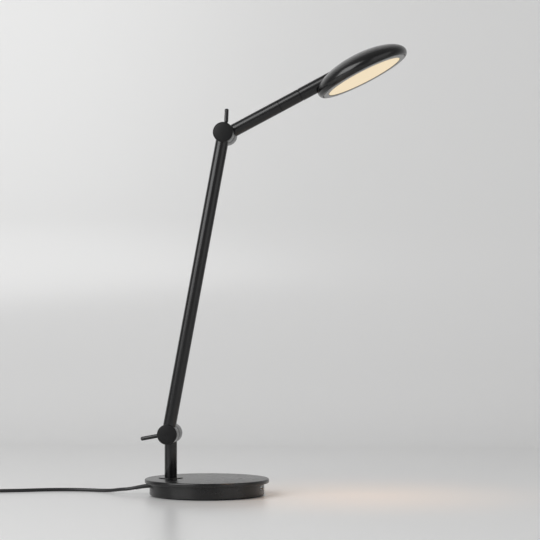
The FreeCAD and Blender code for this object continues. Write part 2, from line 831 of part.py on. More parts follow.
def make_bezel():
    ring = upright(mouth_radius - fit_gap, 0, 0, 0, bezel_thickness)
    ring = ring.cut(upright(bezel_inner_radius, 0, 0, 0, bezel_thickness))
    return on_arm(ring)


def make_diffuser():
    """Lit disc that stands a little proud of the bezel and is held by its rim."""
    radius = bezel_inner_radius - fit_gap
    lens = upright(radius, 0, 0, -diffuser_proud, bezel_thickness)
    lens = lens.makeFillet(diffuser_proud * 0.6, circle_edges(lens, radius, -diffuser_proud, Z_AXIS))
    flange = upright(bezel_inner_radius + diffuser_flange, 0, 0, bezel_thickness, diffuser_top)
    return on_arm(lens.fuse(flange))


def make_spacer():
    outer = bezel_inner_radius + diffuser_flange
    ring = upright(outer, 0, 0, diffuser_top, spacer_top)
    return on_arm(ring.cut(upright(outer - spacer_width, 0, 0, diffuser_top, spacer_top)))


def with_screw_holes(plate, z0, z1):
    for x, y in head_boss_places():
        plate = plate.cut(upright(head_screw_diameter / 2 + fit_gap, x, y, z0, z1))
    return plate


def make_led_board():
    board = upright(bezel_inner_radius + diffuser_flange, 0, 0, spacer_top, led_board_top)
    return on_arm(with_screw_holes(board, spacer_top, led_board_top))


def make_leds():
    chips = []
    for i in range(led_count):
        chip = Part.makeBox(led_size, led_size, led_height)
        chip.translate(vec(led_circle_radius - led_size / 2, -led_size / 2, spacer_top - led_height))
        chip.rotate(vec(0, 0, 0), Z_AXIS, (i + 0.5) * 360 / led_count)
        chips.append(chip)
    return on_arm(Part.makeCompound(chips))


def make_heat_plate():
    plate = upright(bezel_inner_radius + diffuser_flange, 0, 0, led_board_top, heat_plate_top)
    return on_arm(with_screw_holes(plate, led_board_top, heat_plate_top))


def make_head_screws():
    screws = []
    for x, y in head_boss_places():
        head = upright(head_screw_head_diameter / 2, x, y, screw_start - 1.8, screw_start)
        shank = upright(head_screw_diameter / 2, x, y, screw_start, screw_start + head_screw_length)
        screws.append(head.fuse(shank))
    return on_arm(Part.makeCompound(screws))


# ---- Leads inside the tubes -------------------------------------------------------------

def make_post_lead():
    return upright(lead_diameter / 2, post_x, lead_offset, swivel_nut_bottom - 1.5,
                   lower_knuckle_height - hub_radius - 2)


def make_lower_arm_lead():
    return along(lead_diameter / 2, lower_knuckle, lower_arm_turn, front_lead_y, hub_radius,
                 lower_arm_length - hub_radius)


def make_upper_arm_lead():
    return along(lead_diameter / 2, upper_knuckle, upper_arm_turn, lead_offset, hub_radius,
                 spindle_nut_end() - spindle_tail - 1)


def make_head_lead():
    start = spindle_nut_end() - spindle_tail
    end = head_reach - spindle_boss_start + spindle_boss_length - 2
    return along(lead_diameter / 2, upper_knuckle, upper_arm_turn, head_lead_offset, start, end)


# ---- Power cord -------------------------------------------------------------------------

def gland_hole_radius():
    return relief_start_diameter / 2 - 0.6


def make_strain_relief():
    """Moulded gland through the drum wall, with a ribless tapered tail round the cord."""
    x0 = -drum_radius
    z = cord_exit_height
    tip = x0 - relief_length
    core = cylinder(gland_hole_radius() - fit_gap, vec(x0 - 0.5, 0, z), vec(1, 0, 0), gland_inside_length)
    flange = cylinder(gland_flange_diameter / 2, vec(x0 - gland_flange_thickness, 0, z), vec(1, 0, 0),
                      gland_flange_thickness + 0.3)
    drum = upright(drum_radius, 0, 0, 0, disc_top)
    flange = flange.cut(drum)
    taper = Part.makeCone(relief_end_diameter / 2, relief_start_diameter / 2, relief_length - 0.5,
                          vec(tip, 0, z), vec(1, 0, 0))
    return taper.fuse(flange).fuse(core).removeSplitter()


# Route of the cord from the strain relief to the coil, and from the coil to the plug.
lay = cord_diameter / 2
lead_in = [
    (-drum_radius - relief_length - relief_cord_gap, 0.0, cord_exit_height),
    (-118.0, 2.0, 12.0),
    (-133.0, 9.0, 6.4),
    (-149.0, 19.0, lay),
    (-171.0, 27.0, lay),
    (-204.0, 30.5, lay),
    (-243.0, 24.0, lay),
    (-283.0, 12.5, lay),
    (-318.0, 5.0, lay),
    (-342.0, 4.8, lay),
]


def coil_radius(turns):
    """Distance from the coil's centre: a steady spiral in, then out, then in and out again."""
    phase = turns % (2 * coil_turns_per_layer)
    inward = min(phase, 2 * coil_turns_per_layer - phase)
    return coil_mean_radius + coil_pitch * (coil_turns_per_layer / 2 - inward)


def coil_height(turns):
    """Level above the table: each climb takes the half turn where the spiral reverses."""
    height = lay
    for layer in range(1, coil_layers):
        start = layer * coil_turns_per_layer - 0.25
        height += coil_rise * min(max((turns - start) / 0.5, 0.0), 1.0)
    return height


def coil_point(turns):
    angle = math.radians(90) + 2 * math.pi * turns
    radius = coil_radius(turns)
    return vec(coil_x + radius * math.cos(angle), coil_y + radius * math.sin(angle), coil_height(turns))


def coil_tangent(turns):
    step = 0.01
    return (coil_point(turns + step) - coil_point(turns - step)).normalize()


def make_coil():
    """The put-away length of cord, wound as one unbroken tube."""
    turns = coil_layers * coil_turns_per_layer
    steps = int(turns * 4)
    edges = []
    for i in range(steps):
        here = turns * i / steps
        there = turns * (i + 1) / steps
        edges += biarc(coil_point(here), coil_tangent(here), coil_point(there), coil_tangent(there))
    first = coil_point(0)
    last = coil_point(turns)
    edges.insert(0, Part.makeLine(first - coil_tangent(0) * cord_diameter, first))
    edges.append(Part.makeLine(last, last + coil_tangent(turns) * cord_diameter))
    path = Part.Wire(Part.__sortEdges__(edges))
    start = first - coil_tangent(0) * cord_diameter
    ring = Part.Wire(Part.makeCircle(cord_diameter / 2, start, coil_tangent(0)))
    tube = path.makePipeShell([ring], True, False)
    report_tube("coil", tube, path.Length)
    report_coil_gap(turns)
    return tube


def report_coil_gap(turns):
    per_turn = 48
    points = [coil_point(i / per_turn) for i in range(int(turns * per_turn) + 1)]
    least = 1e9
    for i in range(len(points)):
        for j in range(i + per_turn // 2, len(points)):
            least = min(least, (points[i] - points[j]).Length)
    print("coil: least gap to itself %.2f mm" % (least - cord_diameter))


def report_tube(name, tube, length):
    section = math.pi * (cord_diameter / 2) ** 2
    print("%s: length %.1f mm, volume %.1f, section x length %.1f" % (name, length, tube.Volume,
                                                                   section * length))


def make_cord_run(name, route):
    """Tube along straight runs joined by tangent arcs, each as large as its runs allow."""
    points = [vec(*p) for p in route]
    edges = []
    radii = []
    here = points[0]
    for i in range(1, len(points) - 1):
        back = points[i - 1] - points[i]
        ahead = points[i + 1] - points[i]
        shorter = min(back.Length, ahead.Length)
        turn = math.pi - back.getAngle(ahead)
        reach = 0.45 * shorter
        radius = reach / math.tan(turn / 2)
        back.normalize()
        ahead.normalize()
        arc_start = points[i] + back * reach
        arc_end = points[i] + ahead * reach
        inward = back + ahead
        inward.normalize()
        centre = points[i] + inward * (radius / math.cos(turn / 2))
        middle = centre - inward * radius
        edges.append(Part.LineSegment(here, arc_start).toShape())
        edges.append(Part.Arc(arc_start, middle, arc_end).toShape())
        here = arc_end
        radii.append(radius)
    edges.append(Part.LineSegment(here, points[-1]).toShape())
    path = Part.Wire(edges)
    ring = Part.Wire(Part.makeCircle(cord_diameter / 2, points[0], points[1] - points[0]))
    tube = path.makePipeShell([ring], True, False)
    print("%s: bend radii %s" % (name, " ".join("%.0f" % r for r in radii)))
    report_tube(name, tube, path.Length)
    return tube


def coil_start():
    return coil_point(0) - coil_tangent(0) * cord_diameter


def coil_end():
    turns = coil_layers * coil_turns_per_layer
    return coil_point(turns) + coil_tangent(turns) * cord_diameter


def make_cord_lead():
    end = coil_start()
    return make_cord_run("cord to coil", lead_in + [(end.x, end.y, end.z)])


def tail_route():
    start = coil_end()
    height = start.z
    return [
        (start.x, start.y, height),
        (start.x - 15.0, start.y - 0.5, height - 1.0),
        (start.x - 31.0, start.y - 5.0, height - 6.5),
        (start.x - 45.0, start.y - 15.5, plug_thickness / 2 + 1.5),
        (start.x - 53.0, start.y - 31.5, plug_thickness / 2),
        (start.x - 54.5, start.y - 48.0, plug_thickness / 2),
    ]


def make_cord_tail():
    return make_cord_run("cord to plug", tail_route())


def make_plug_body():
    """Flat two-pin plug, six-sided in plan, lofted from the cord grip to the pin face."""
    end = vec(*tail_route()[-1])
    sections = []
    stations = [
        (plug_cord_gap, 9.0, 9.0),
        (12.0, 13.0, 11.0),
        (22.0, plug_width, plug_thickness),
        (plug_length, plug_width - 3.0, plug_thickness),
    ]
    for distance, width, height in stations:
        sections.append(rounded_section(end.x, end.y - distance, end.z, width, height))
    return Part.makeLoft(sections, True, True)


def rounded_section(x, y, z, width, height):
    """Stadium-shaped section square to the plug's length."""
    half = height / 2
    flat = width / 2 - half + 0.01
    low_left = vec(x - flat, y, z - half)
    low_right = vec(x + flat, y, z - half)
    high_left = vec(x - flat, y, z + half)
    high_right = vec(x + flat, y, z + half)
    left = Part.Arc(high_left, vec(x - flat - half, y, z), low_left).toShape()
    right = Part.Arc(low_right, vec(x + flat + half, y, z), high_right).toShape()
    under = Part.makeLine(low_left, low_right)
    over = Part.makeLine(high_right, high_left)
    return Part.Wire([left, under, right, over])


def make_plug_pins():
    end = vec(*tail_route()[-1])
    pins = []
    for side in (-1, 1):
        start = vec(end.x + side * plug_pin_spacing / 2 * 0.97, end.y - plug_length, end.z)
        pin = cylinder(plug_pin_diameter / 2, start, vec(0, -1, 0), plug_pin_length)
        rim = edges_at(pin, lambda e: e.Curve.TypeId == "Part::GeomCircle"
                       and abs(e.Curve.Center.y - (start.y - plug_pin_length)) < 0.01)
        pins.append(pin.makeFillet(1.2, rim))
    return Part.makeCompound(pins)


pieces = {
    "base_top_disc": make_top_disc(),
    "base_drum": make_drum(),
    "bottom_plate": make_bottom_plate(),
    "foot_pad": make_foot_pad(),
    "base_screws": make_base_screws(),
    "ballast_weight": make_ballast(),
    "touch_cap": make_touch_cap(),
    "touch_contact": make_touch_contact(),
    "socket_frame": make_socket_frame(),
    "socket_shell": make_socket_shell(),
    "socket_tongue": make_socket_tongue(),
    "circuit_board": make_circuit_board(),
    "post_collar": make_collar(),
    "swivel_bush": make_swivel_bush(),
    "swivel_stop_pin": make_stop_pin(),
    "post_foot": make_post_foot(),
    "swivel_stop_washer": make_stop_washer(),
    "swivel_nut": make_swivel_nut(),
    "post_tube": make_post_tube(),
    "post_lead": make_post_lead(),
    "lower_rear_hub": make_lower_rear_hub(),
    "lower_rear_cap": make_rear_cap(lower_knuckle),
    "lower_thrust_washer": make_thrust_washer(lower_knuckle),
    "lower_clamp_nut": make_clamp_nut(lower_knuckle, lower_lever_turn),
    "lower_lever": make_lever(lower_knuckle, lower_lever_turn, lower_lever_reach),
    "lower_front_hub": make_front_hub(lower_knuckle, lower_arm_turn, arm_bore),
    "lower_front_cap": make_front_cap(lower_knuckle),
    "lower_clamp_bolt": make_clamp_bolt(lower_knuckle),
    "lower_friction_disc": make_friction_disc(lower_knuckle),
    "lower_arm_tube": make_lower_arm_tube(),
    "lower_arm_lead": make_lower_arm_lead(),
    "upper_front_hub": make_front_hub(upper_knuckle, lower_arm_turn + 180, arm_bore),
    "upper_front_cap": make_front_cap(upper_knuckle),
    "upper_clamp_bolt": make_clamp_bolt(upper_knuckle),
    "upper_friction_disc": make_friction_disc(upper_knuckle),
    "upper_rear_hub": make_upper_rear_hub(),
    "upper_rear_cap": make_rear_cap(upper_knuckle),
    "upper_thrust_washer": make_thrust_washer(upper_knuckle),
    "upper_clamp_nut": make_clamp_nut(upper_knuckle, upper_lever_turn),
    "upper_lever": make_lever(upper_knuckle, upper_lever_turn, upper_lever_reach),
    "upper_arm_tube": make_upper_arm_tube(),
    "upper_arm_lead": make_upper_arm_lead(),
    "swivel_sleeve": make_swivel_sleeve(),
    "head_spindle": make_spindle(),
    "spindle_nut": make_spindle_nut(),
    "head_neck": make_neck(),
    "head_lead": make_head_lead(),
    "head_shell": make_head_shell(),
    "head_bezel": make_bezel(),
    "light_diffuser": make_diffuser(),
    "light_spacer": make_spacer(),
    "led_board": make_led_board().fuse(make_leds()),
    "heat_plate": make_heat_plate(),
    "head_screws": make_head_screws(),
    "strain_relief": make_strain_relief(),
    "cord_lead": make_cord_lead(),
    "cord_coil": make_coil(),
    "cord_tail": make_cord_tail(),
    "plug_body": make_plug_body(),
    "plug_pins": make_plug_pins(),
}

os.makedirs("parts", exist_ok=True)
for name, shape in pieces.items():
    if not shape.isValid():
        print("not valid:", name)
    print("%-22s solids %d  volume %9.1f  z %.2f to %.2f" % (name, len(shape.Solids), shape.Volume,
                                                          shape.BoundBox.ZMin, shape.BoundBox.ZMax))
    shape.exportStep("parts/" + name + ".step")
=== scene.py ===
import bpy
import bmesh
import math
from mathutils import Matrix, Vector


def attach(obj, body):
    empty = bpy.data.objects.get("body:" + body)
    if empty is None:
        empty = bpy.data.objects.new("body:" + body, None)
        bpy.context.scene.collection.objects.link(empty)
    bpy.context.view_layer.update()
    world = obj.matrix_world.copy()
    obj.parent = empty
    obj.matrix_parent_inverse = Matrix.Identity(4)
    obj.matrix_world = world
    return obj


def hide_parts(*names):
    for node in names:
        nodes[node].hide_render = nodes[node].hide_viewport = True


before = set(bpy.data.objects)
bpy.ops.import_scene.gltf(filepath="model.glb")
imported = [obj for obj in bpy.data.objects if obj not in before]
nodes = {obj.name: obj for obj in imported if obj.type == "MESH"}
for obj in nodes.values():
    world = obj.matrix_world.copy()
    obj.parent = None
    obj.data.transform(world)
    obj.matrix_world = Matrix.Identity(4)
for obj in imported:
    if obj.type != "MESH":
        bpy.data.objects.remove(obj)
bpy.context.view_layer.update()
print("frame loaded,", len(nodes), "nodes")

# The lamp's main lines, in millimetres and degrees from the horizontal.
lampPlan = {
    "postX": -53.0,
    "lowerKnuckleZ": 89.4,
    "lowerArmTurn": 79.4,
    "lowerArmLength": 440.0,
    "upperArmTurn": 27.4,
    "frontTubeY": -24.75,
    "headReach": 215.0,
    "headAxisHeight": 19.9,
    "headLean": -1.0,
    "headRoll": 0.3,
}


def mm(value):
    return value / 1000


def turned(turn):
    angle = math.radians(turn)
    return Vector((math.cos(angle), 0, math.sin(angle)))


lowerKnuckle = Vector((mm(lampPlan["postX"]), 0, mm(lampPlan["lowerKnuckleZ"])))
upperKnuckle = lowerKnuckle + turned(lampPlan["lowerArmTurn"]) * mm(lampPlan["lowerArmLength"])
upperLine = turned(lampPlan["upperArmTurn"])
armUp = turned(lampPlan["upperArmTurn"] + 90)
headLine = turned(lampPlan["upperArmTurn"] + lampPlan["headLean"])
headUp = turned(lampPlan["upperArmTurn"] + lampPlan["headLean"] + 90)
headUp = Matrix.Rotation(math.radians(lampPlan["headRoll"]), 3, headLine) @ headUp
headCentre = upperKnuckle + upperLine * mm(lampPlan["headReach"]) - headUp * mm(lampPlan["headAxisHeight"])


# Tools shared by the pieces

def placing(origin, axis, side):
    # local Z runs along axis and local X along side
    z = Vector(axis).normalized()
    x = Vector(side)
    x = (x - z * x.dot(z)).normalized()
    y = z.cross(x)
    turn = Matrix((x, y, z)).transposed().to_4x4()
    return Matrix.Translation(Vector(origin)) @ turn


uprightPlace = Matrix.Identity(4)
postPlace = Matrix.Translation((mm(lampPlan["postX"]), 0, 0))
headPlace = placing(headCentre, headUp, headLine)
upperArmPlace = placing(upperKnuckle, upperLine, armUp)


def spun(profile, steps=96):
    # a profile of (radius, height) points in millimetres, turned once round local Z
    bm = bmesh.new()
    verts = [bm.verts.new((mm(r), 0, mm(h))) for r, h in profile]
    edges = [bm.edges.new(pair) for pair in zip(verts, verts[1:])]
    bmesh.ops.spin(bm, geom=verts + edges, cent=(0, 0, 0), axis=(0, 0, 1),
                   angle=math.tau, steps=steps, use_merge=True)
    bmesh.ops.remove_doubles(bm, verts=bm.verts, dist=1e-7)
    bmesh.ops.recalc_face_normals(bm, faces=bm.faces)
    return bm


def ring(inner, outer, low, high, steps=96):
    return spun([(inner, low), (outer, low), (outer, high), (inner, high), (inner, low)], steps)


def disc(radius, low, high, steps=96):
    return spun([(0, low), (radius, low), (radius, high), (0, high)], steps)


def soften(bm, width, segments=3, sharperThan=30, keep=None):
    # rounds the edges that turn more than sharperThan degrees
    picked = [edge for edge in bm.edges if len(edge.link_faces) == 2
              and edge.calc_face_angle(0) > math.radians(sharperThan)
              and (keep is None or keep(edge))]
    bmesh.ops.bevel(bm, geom=picked, offset=mm(width), offset_type="OFFSET", segments=segments,
                    profile=0.5, affect="EDGES", clamp_overlap=True, material=-1)


def edgeHeight(edge):
    return (edge.verts[0].co.z + edge.verts[1].co.z) / 2


def edgeRadius(edge):
    middle = (edge.verts[0].co + edge.verts[1].co) / 2
    return math.hypot(middle.x, middle.y)


def roundedBar(width, height, length, corner, segments=4):
    # a bar along local Z with rounded long edges, starting at 0
    bm = bmesh.new()
    bmesh.ops.create_grid(bm, x_segments=1, y_segments=1, size=0.5)
    bmesh.ops.scale(bm, vec=(mm(width), mm(height), 1), verts=bm.verts)
    bmesh.ops.bevel(bm, geom=list(bm.verts), offset=mm(corner), segments=segments, profile=0.5,
                    affect="VERTICES", material=-1)
    pushed = bmesh.ops.extrude_face_region(bm, geom=list(bm.faces))
    moved = [item for item in pushed["geom"] if isinstance(item, bmesh.types.BMVert)]
    bmesh.ops.translate(bm, vec=(0, 0, mm(length)), verts=moved)
    bmesh.ops.recalc_face_normals(bm, faces=bm.faces)
    return bm


def asPiece(name, bm, place=uprightPlace):
    bmesh.ops.transform(bm, matrix=place, verts=bm.verts)
    mesh = bpy.data.meshes.new(name)
    bm.to_mesh(mesh)
    bm.free()
    piece = bpy.data.objects.new(name, mesh)
    bpy.context.scene.collection.objects.link(piece)
    return piece


def cutAway(piece, bm, place=uprightPlace):
    # takes one closed shape out of a piece, and applies the result
    cutter = asPiece("cutter", bm, place)
    tool = piece.modifiers.new("cut", "BOOLEAN")
    tool.operation = "DIFFERENCE"
    tool.solver = "EXACT"
    tool.object = cutter
    depsgraph = bpy.context.evaluated_depsgraph_get()
    mesh = bpy.data.meshes.new_from_object(piece.evaluated_get(depsgraph))
    piece.modifiers.clear()
    piece.data = mesh
    bpy.data.objects.remove(cutter)


def dress(piece, body, slotName, material, *replaced, smooth=32):
    piece.data.materials.clear()
    piece.data.materials.append(material)
    if piece.type == "MESH":
        piece.data.shade_smooth()
        piece.data.set_sharp_from_angle(angle=math.radians(smooth))
    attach(piece, body)
    if replaced:
        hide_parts(*replaced)


# Shader groups: only colours, values and heights come out of them

def newGroup(name, inputs, outputs):
    group = bpy.data.node_groups.new(name, "ShaderNodeTree")
    for socketName, kind, value in inputs:
        socket = group.interface.new_socket(name=socketName, in_out="INPUT", socket_type=kind)
        socket.default_value = value
    for socketName, kind in outputs:
        group.interface.new_socket(name=socketName, in_out="OUTPUT", socket_type=kind)
    start = group.nodes.new("NodeGroupInput")
    end = group.nodes.new("NodeGroupOutput")
    return group, start, end


def addNode(tree, kind, **settings):
    node = tree.nodes.new(kind)
    for key, value in settings.items():
        setattr(node, key, value)
    return node


def makeCoatGroup():
    # fine sprayed coat: tiny grain, faint cloudy patches and a slight change of gloss
    group, start, end = newGroup("sprayedCoat", [
        ("Colour", "NodeSocketColor", (0.02, 0.02, 0.02, 1)),
        ("Cloud Colour", "NodeSocketColor", (0.03, 0.03, 0.03, 1)),
        ("Grain Scale", "NodeSocketFloat", 2600.0),
        ("Cloud Scale", "NodeSocketFloat", 18.0),
        ("Cloud Amount", "NodeSocketFloat", 0.5),
        ("Roughness", "NodeSocketFloat", 0.4),
        ("Gloss Spread", "NodeSocketFloat", 0.06),
    ], [("Colour", "NodeSocketColor"), ("Roughness", "NodeSocketFloat"), ("Height", "NodeSocketFloat")])
    place = addNode(group, "ShaderNodeTexCoord")
    grain = addNode(group, "ShaderNodeTexNoise")
    grain.inputs["Detail"].default_value = 2.0
    cloud = addNode(group, "ShaderNodeTexNoise")
    cloud.inputs["Detail"].default_value = 4.0
    cloud.inputs["Roughness"].default_value = 0.6
    soft = addNode(group, "ShaderNodeMath", operation="MULTIPLY")
    blend = addNode(group, "ShaderNodeMix", data_type="RGBA")
    centred = addNode(group, "ShaderNodeMath", operation="SUBTRACT")
    centred.inputs[1].default_value = 0.5
    spread = addNode(group, "ShaderNodeMath", operation="MULTIPLY_ADD")
    link = group.links.new
    link(place.outputs["Object"], grain.inputs["Vector"])
    link(place.outputs["Object"], cloud.inputs["Vector"])
    link(start.outputs["Grain Scale"], grain.inputs["Scale"])
    link(start.outputs["Cloud Scale"], cloud.inputs["Scale"])
    link(cloud.outputs["Fac"], soft.inputs[0])
    link(start.outputs["Cloud Amount"], soft.inputs[1])
    link(soft.outputs[0], blend.inputs["Factor"])
    link(start.outputs["Colour"], blend.inputs["A"])
    link(start.outputs["Cloud Colour"], blend.inputs["B"])
    link(blend.outputs["Result"], end.inputs["Colour"])
    link(cloud.outputs["Fac"], centred.inputs[0])
    link(centred.outputs[0], spread.inputs[0])
    link(start.outputs["Gloss Spread"], spread.inputs[1])
    link(start.outputs["Roughness"], spread.inputs[2])
    link(spread.outputs[0], end.inputs["Roughness"])
    link(grain.outputs["Fac"], end.inputs["Height"])
    return group


coatGroup = makeCoatGroup()


def coatedMaterial(name, look):
    # sprayed metal, moulded plastic and rubber all share the coat group
    material = bpy.data.materials.new(name)
    material.use_nodes = True
    tree = material.node_tree
    shader = tree.nodes["Principled BSDF"]
    coat = addNode(tree, "ShaderNodeGroup", node_tree=coatGroup)
    coat.inputs["Colour"].default_value = (*look["colour"], 1)
    coat.inputs["Cloud Colour"].default_value = (*look.get("cloudColour", look["colour"]), 1)
    coat.inputs["Grain Scale"].default_value = look.get("grainScale", 2600)
    coat.inputs["Cloud Scale"].default_value = look.get("cloudScale", 18)
    coat.inputs["Cloud Amount"].default_value = look.get("cloudAmount", 0.5)
    coat.inputs["Roughness"].default_value = look["roughness"]
    coat.inputs["Gloss Spread"].default_value = look.get("glossSpread", 0.06)
    bump = addNode(tree, "ShaderNodeBump")
    bump.inputs["Strength"].default_value = look.get("bump", 0.06)
    bump.inputs["Distance"].default_value = look.get("bumpDepth", 0.0001)
    shader.inputs["Metallic"].default_value = look.get("metallic", 0)
    shader.inputs["Specular IOR Level"].default_value = look.get("specular", 0.5)
    tree.links.new(coat.outputs["Colour"], shader.inputs["Base Color"])
    tree.links.new(coat.outputs["Roughness"], shader.inputs["Roughness"])
    tree.links.new(coat.outputs["Height"], bump.inputs["Height"])
    tree.links.new(bump.outputs["Normal"], shader.inputs["Normal"])
    return material


finishLooks = {
    "satinBlack": {"colour": (0.003, 0.003, 0.0032), "cloudColour": (0.0045, 0.0045, 0.0048),
                   "roughness": 0.25},
    "headBlack": {"colour": (0.003, 0.003, 0.0032), "cloudColour": (0.0045, 0.0045, 0.0048),
                  "roughness": 0.23},
    "baseBlack": {"colour": (0.004, 0.004, 0.0042), "cloudColour": (0.0065, 0.0065, 0.0068),
                  "roughness": 0.27},
    "capBlack": {"colour": (0.004, 0.004, 0.0042), "cloudColour": (0.006, 0.006, 0.0062), "roughness": 0.42,
                 "specular": 0.3},
    "touchBlack": {"colour": (0.004, 0.004, 0.0042), "cloudColour": (0.0065, 0.0065, 0.0068),
                   "roughness": 0.20},
    "rubberBlack": {"colour": (0.012, 0.012, 0.0125), "cloudColour": (0.018, 0.018, 0.0185),
                    "roughness": 0.55, "bump": 0.15},
    "cordBlack": {"colour": (0.008, 0.008, 0.0085), "cloudColour": (0.012, 0.012, 0.0125), "roughness": 0.42,
                  "cloudScale": 60},
    "plugBlack": {"colour": (0.012, 0.012, 0.0125), "cloudColour": (0.017, 0.017, 0.0175), "roughness": 0.45,
                  "bump": 0.12},
    "bezelGrey": {"colour": (0.38, 0.38, 0.38), "cloudColour": (0.42, 0.42, 0.42), "roughness": 0.50,
                  "specular": 0.15},
    "whitePlastic": {"colour": (0.75, 0.75, 0.73), "cloudColour": (0.68, 0.68, 0.66), "roughness": 0.45},
    "boardGreen": {"colour": (0.030, 0.115, 0.050), "cloudColour": (0.045, 0.150, 0.070), "roughness": 0.38,
                   "cloudScale": 90},
    "castIron": {"colour": (0.09, 0.09, 0.09), "cloudColour": (0.14, 0.13, 0.12), "roughness": 0.62,
                 "bump": 0.4, "grainScale": 900, "metallic": 0.6},
    "brightSteel": {"colour": (0.56, 0.56, 0.57), "cloudColour": (0.48, 0.48, 0.49), "roughness": 0.30,
                    "metallic": 1.0, "cloudScale": 140},
    "plateAluminium": {"colour": (0.70, 0.70, 0.71), "cloudColour": (0.62, 0.62, 0.63), "roughness": 0.38,
                       "metallic": 1.0, "cloudScale": 60},
    "leadRed": {"colour": (0.40, 0.040, 0.030), "cloudColour": (0.32, 0.030, 0.024), "roughness": 0.50,
                "cloudScale": 120},
}
finish = {name: coatedMaterial(name, look) for name, look in finishLooks.items()}


glowLook = {
    "middle": (0.790, 0.655, 0.450),
    "edge": (0.860, 0.700, 0.370),
    "edgeStart": 0.965,
    "radius": 57.0,
    "strength": 1.0,
    "unlit": (0.05, 0.045, 0.035),
    "roughness": 0.55,
}


def makeGlow():
    # the lit disc: even and warm, a little deeper in colour close to its rim
    material = bpy.data.materials.new("warmGlow")
    material.use_nodes = True
    tree = material.node_tree
    shader = tree.nodes["Principled BSDF"]
    shader.inputs["Base Color"].default_value = (*glowLook["unlit"], 1)
    shader.inputs["Roughness"].default_value = glowLook["roughness"]
    shader.inputs["Emission Strength"].default_value = glowLook["strength"]
    where = addNode(tree, "ShaderNodeTexCoord")
    centre = addNode(tree, "ShaderNodeMapping", vector_type="TEXTURE")
    centre.inputs["Location"].default_value = headCentre
    centre.inputs["Rotation"].default_value = headPlace.to_euler()
    centre.inputs["Scale"].default_value = [mm(glowLook["radius"])] * 3
    flat = addNode(tree, "ShaderNodeVectorMath", operation="MULTIPLY")
    flat.inputs[1].default_value = (1, 1, 0)
    radius = addNode(tree, "ShaderNodeVectorMath", operation="LENGTH")
    ramp = addNode(tree, "ShaderNodeValToRGB")
    ramp.color_ramp.elements[0].position = glowLook["edgeStart"]
    ramp.color_ramp.elements[0].color = (*glowLook["middle"], 1)
    ramp.color_ramp.elements[1].position = 1.0
    ramp.color_ramp.elements[1].color = (*glowLook["edge"], 1)
    link = tree.links.new
    link(where.outputs["Object"], centre.inputs["Vector"])
    link(centre.outputs["Vector"], flat.inputs[0])
    link(flat.outputs["Vector"], radius.inputs[0])
    link(radius.outputs["Value"], ramp.inputs["Fac"])
    link(ramp.outputs["Color"], shader.inputs["Emission Color"])
    return material


finish["warmGlow"] = makeGlow()
print("materials made,", len(finish))


# Camera, floor and backdrop

cameraPlan = {
    "place": (0.3633, -2.4691, 0.2422),
    "turn": 6.5,
    "lens": 114.8,
    "shift": (0.0126, 0.1074),
}
cameraData = bpy.data.cameras.new("camera")
cameraData.lens = cameraPlan["lens"]
cameraData.sensor_width = 36
cameraData.shift_x, cameraData.shift_y = cameraPlan["shift"]
cameraData.clip_end = 50
camera = bpy.data.objects.new("camera", cameraData)
camera.location = cameraPlan["place"]
camera.rotation_euler = (math.radians(90), 0, math.radians(cameraPlan["turn"]))
bpy.context.scene.collection.objects.link(camera)
bpy.context.scene.camera = camera

stagePlan = {"front": -5.0, "back": 1.5, "halfWidth": 6.0, "height": 4.0, "sweep": 0.5,
             "colour": (0.76, 0.76, 0.755), "roughness": 0.28}


def makeStageMaterial():
    material = bpy.data.materials.new("paleStage")
    material.use_nodes = True
    tree = material.node_tree
    shader = tree.nodes["Principled BSDF"]
    shader.inputs["Base Color"].default_value = (*stagePlan["colour"], 1)
    shader.inputs["Roughness"].default_value = stagePlan["roughness"]
    # the sheet's back is clear, so that a camera behind the wall sees the lamp
    facing = addNode(tree, "ShaderNodeNewGeometry")
    clear = addNode(tree, "ShaderNodeBsdfTransparent")
    mix = addNode(tree, "ShaderNodeMixShader")
    tree.links.new(facing.outputs["Backfacing"], mix.inputs["Fac"])
    tree.links.new(shader.outputs["BSDF"], mix.inputs[1])
    tree.links.new(clear.outputs["BSDF"], mix.inputs[2])
    tree.links.new(mix.outputs["Shader"], tree.nodes["Material Output"].inputs["Surface"])
    return material


def makeStage():
    # one sheet: floor, a wide sweep, and the wall behind
    plan = stagePlan
    depth = plan["back"] - plan["front"]
    middle = (plan["back"] + plan["front"]) / 2
    bm = bmesh.new()
    bmesh.ops.create_grid(bm, x_segments=1, y_segments=1, size=0.5)
    bmesh.ops.scale(bm, vec=(2 * plan["halfWidth"], depth, 1), verts=bm.verts)
    bmesh.ops.translate(bm, vec=(0, middle, 0), verts=bm.verts)
    rear = [edge for edge in bm.edges if all(vert.co.y > plan["back"] - 0.01 for vert in edge.verts)]
    raised = bmesh.ops.extrude_edge_only(bm, edges=rear)
    lifted = [item for item in raised["geom"] if isinstance(item, bmesh.types.BMVert)]
    bmesh.ops.translate(bm, vec=(0, 0, plan["height"]), verts=lifted)
    fold = [edge for edge in bm.edges if len(edge.link_faces) == 2]
    bmesh.ops.bevel(bm, geom=fold, offset=plan["sweep"], segments=24, profile=0.5, affect="EDGES",
                    material=-1)
    sheet = asPiece("floorAndWall", bm)
    sheet.data.materials.append(makeStageMaterial())
    sheet.data.shade_smooth()


makeStage()


# Cord: one smooth line from the strain relief through the put-away coil to the plug

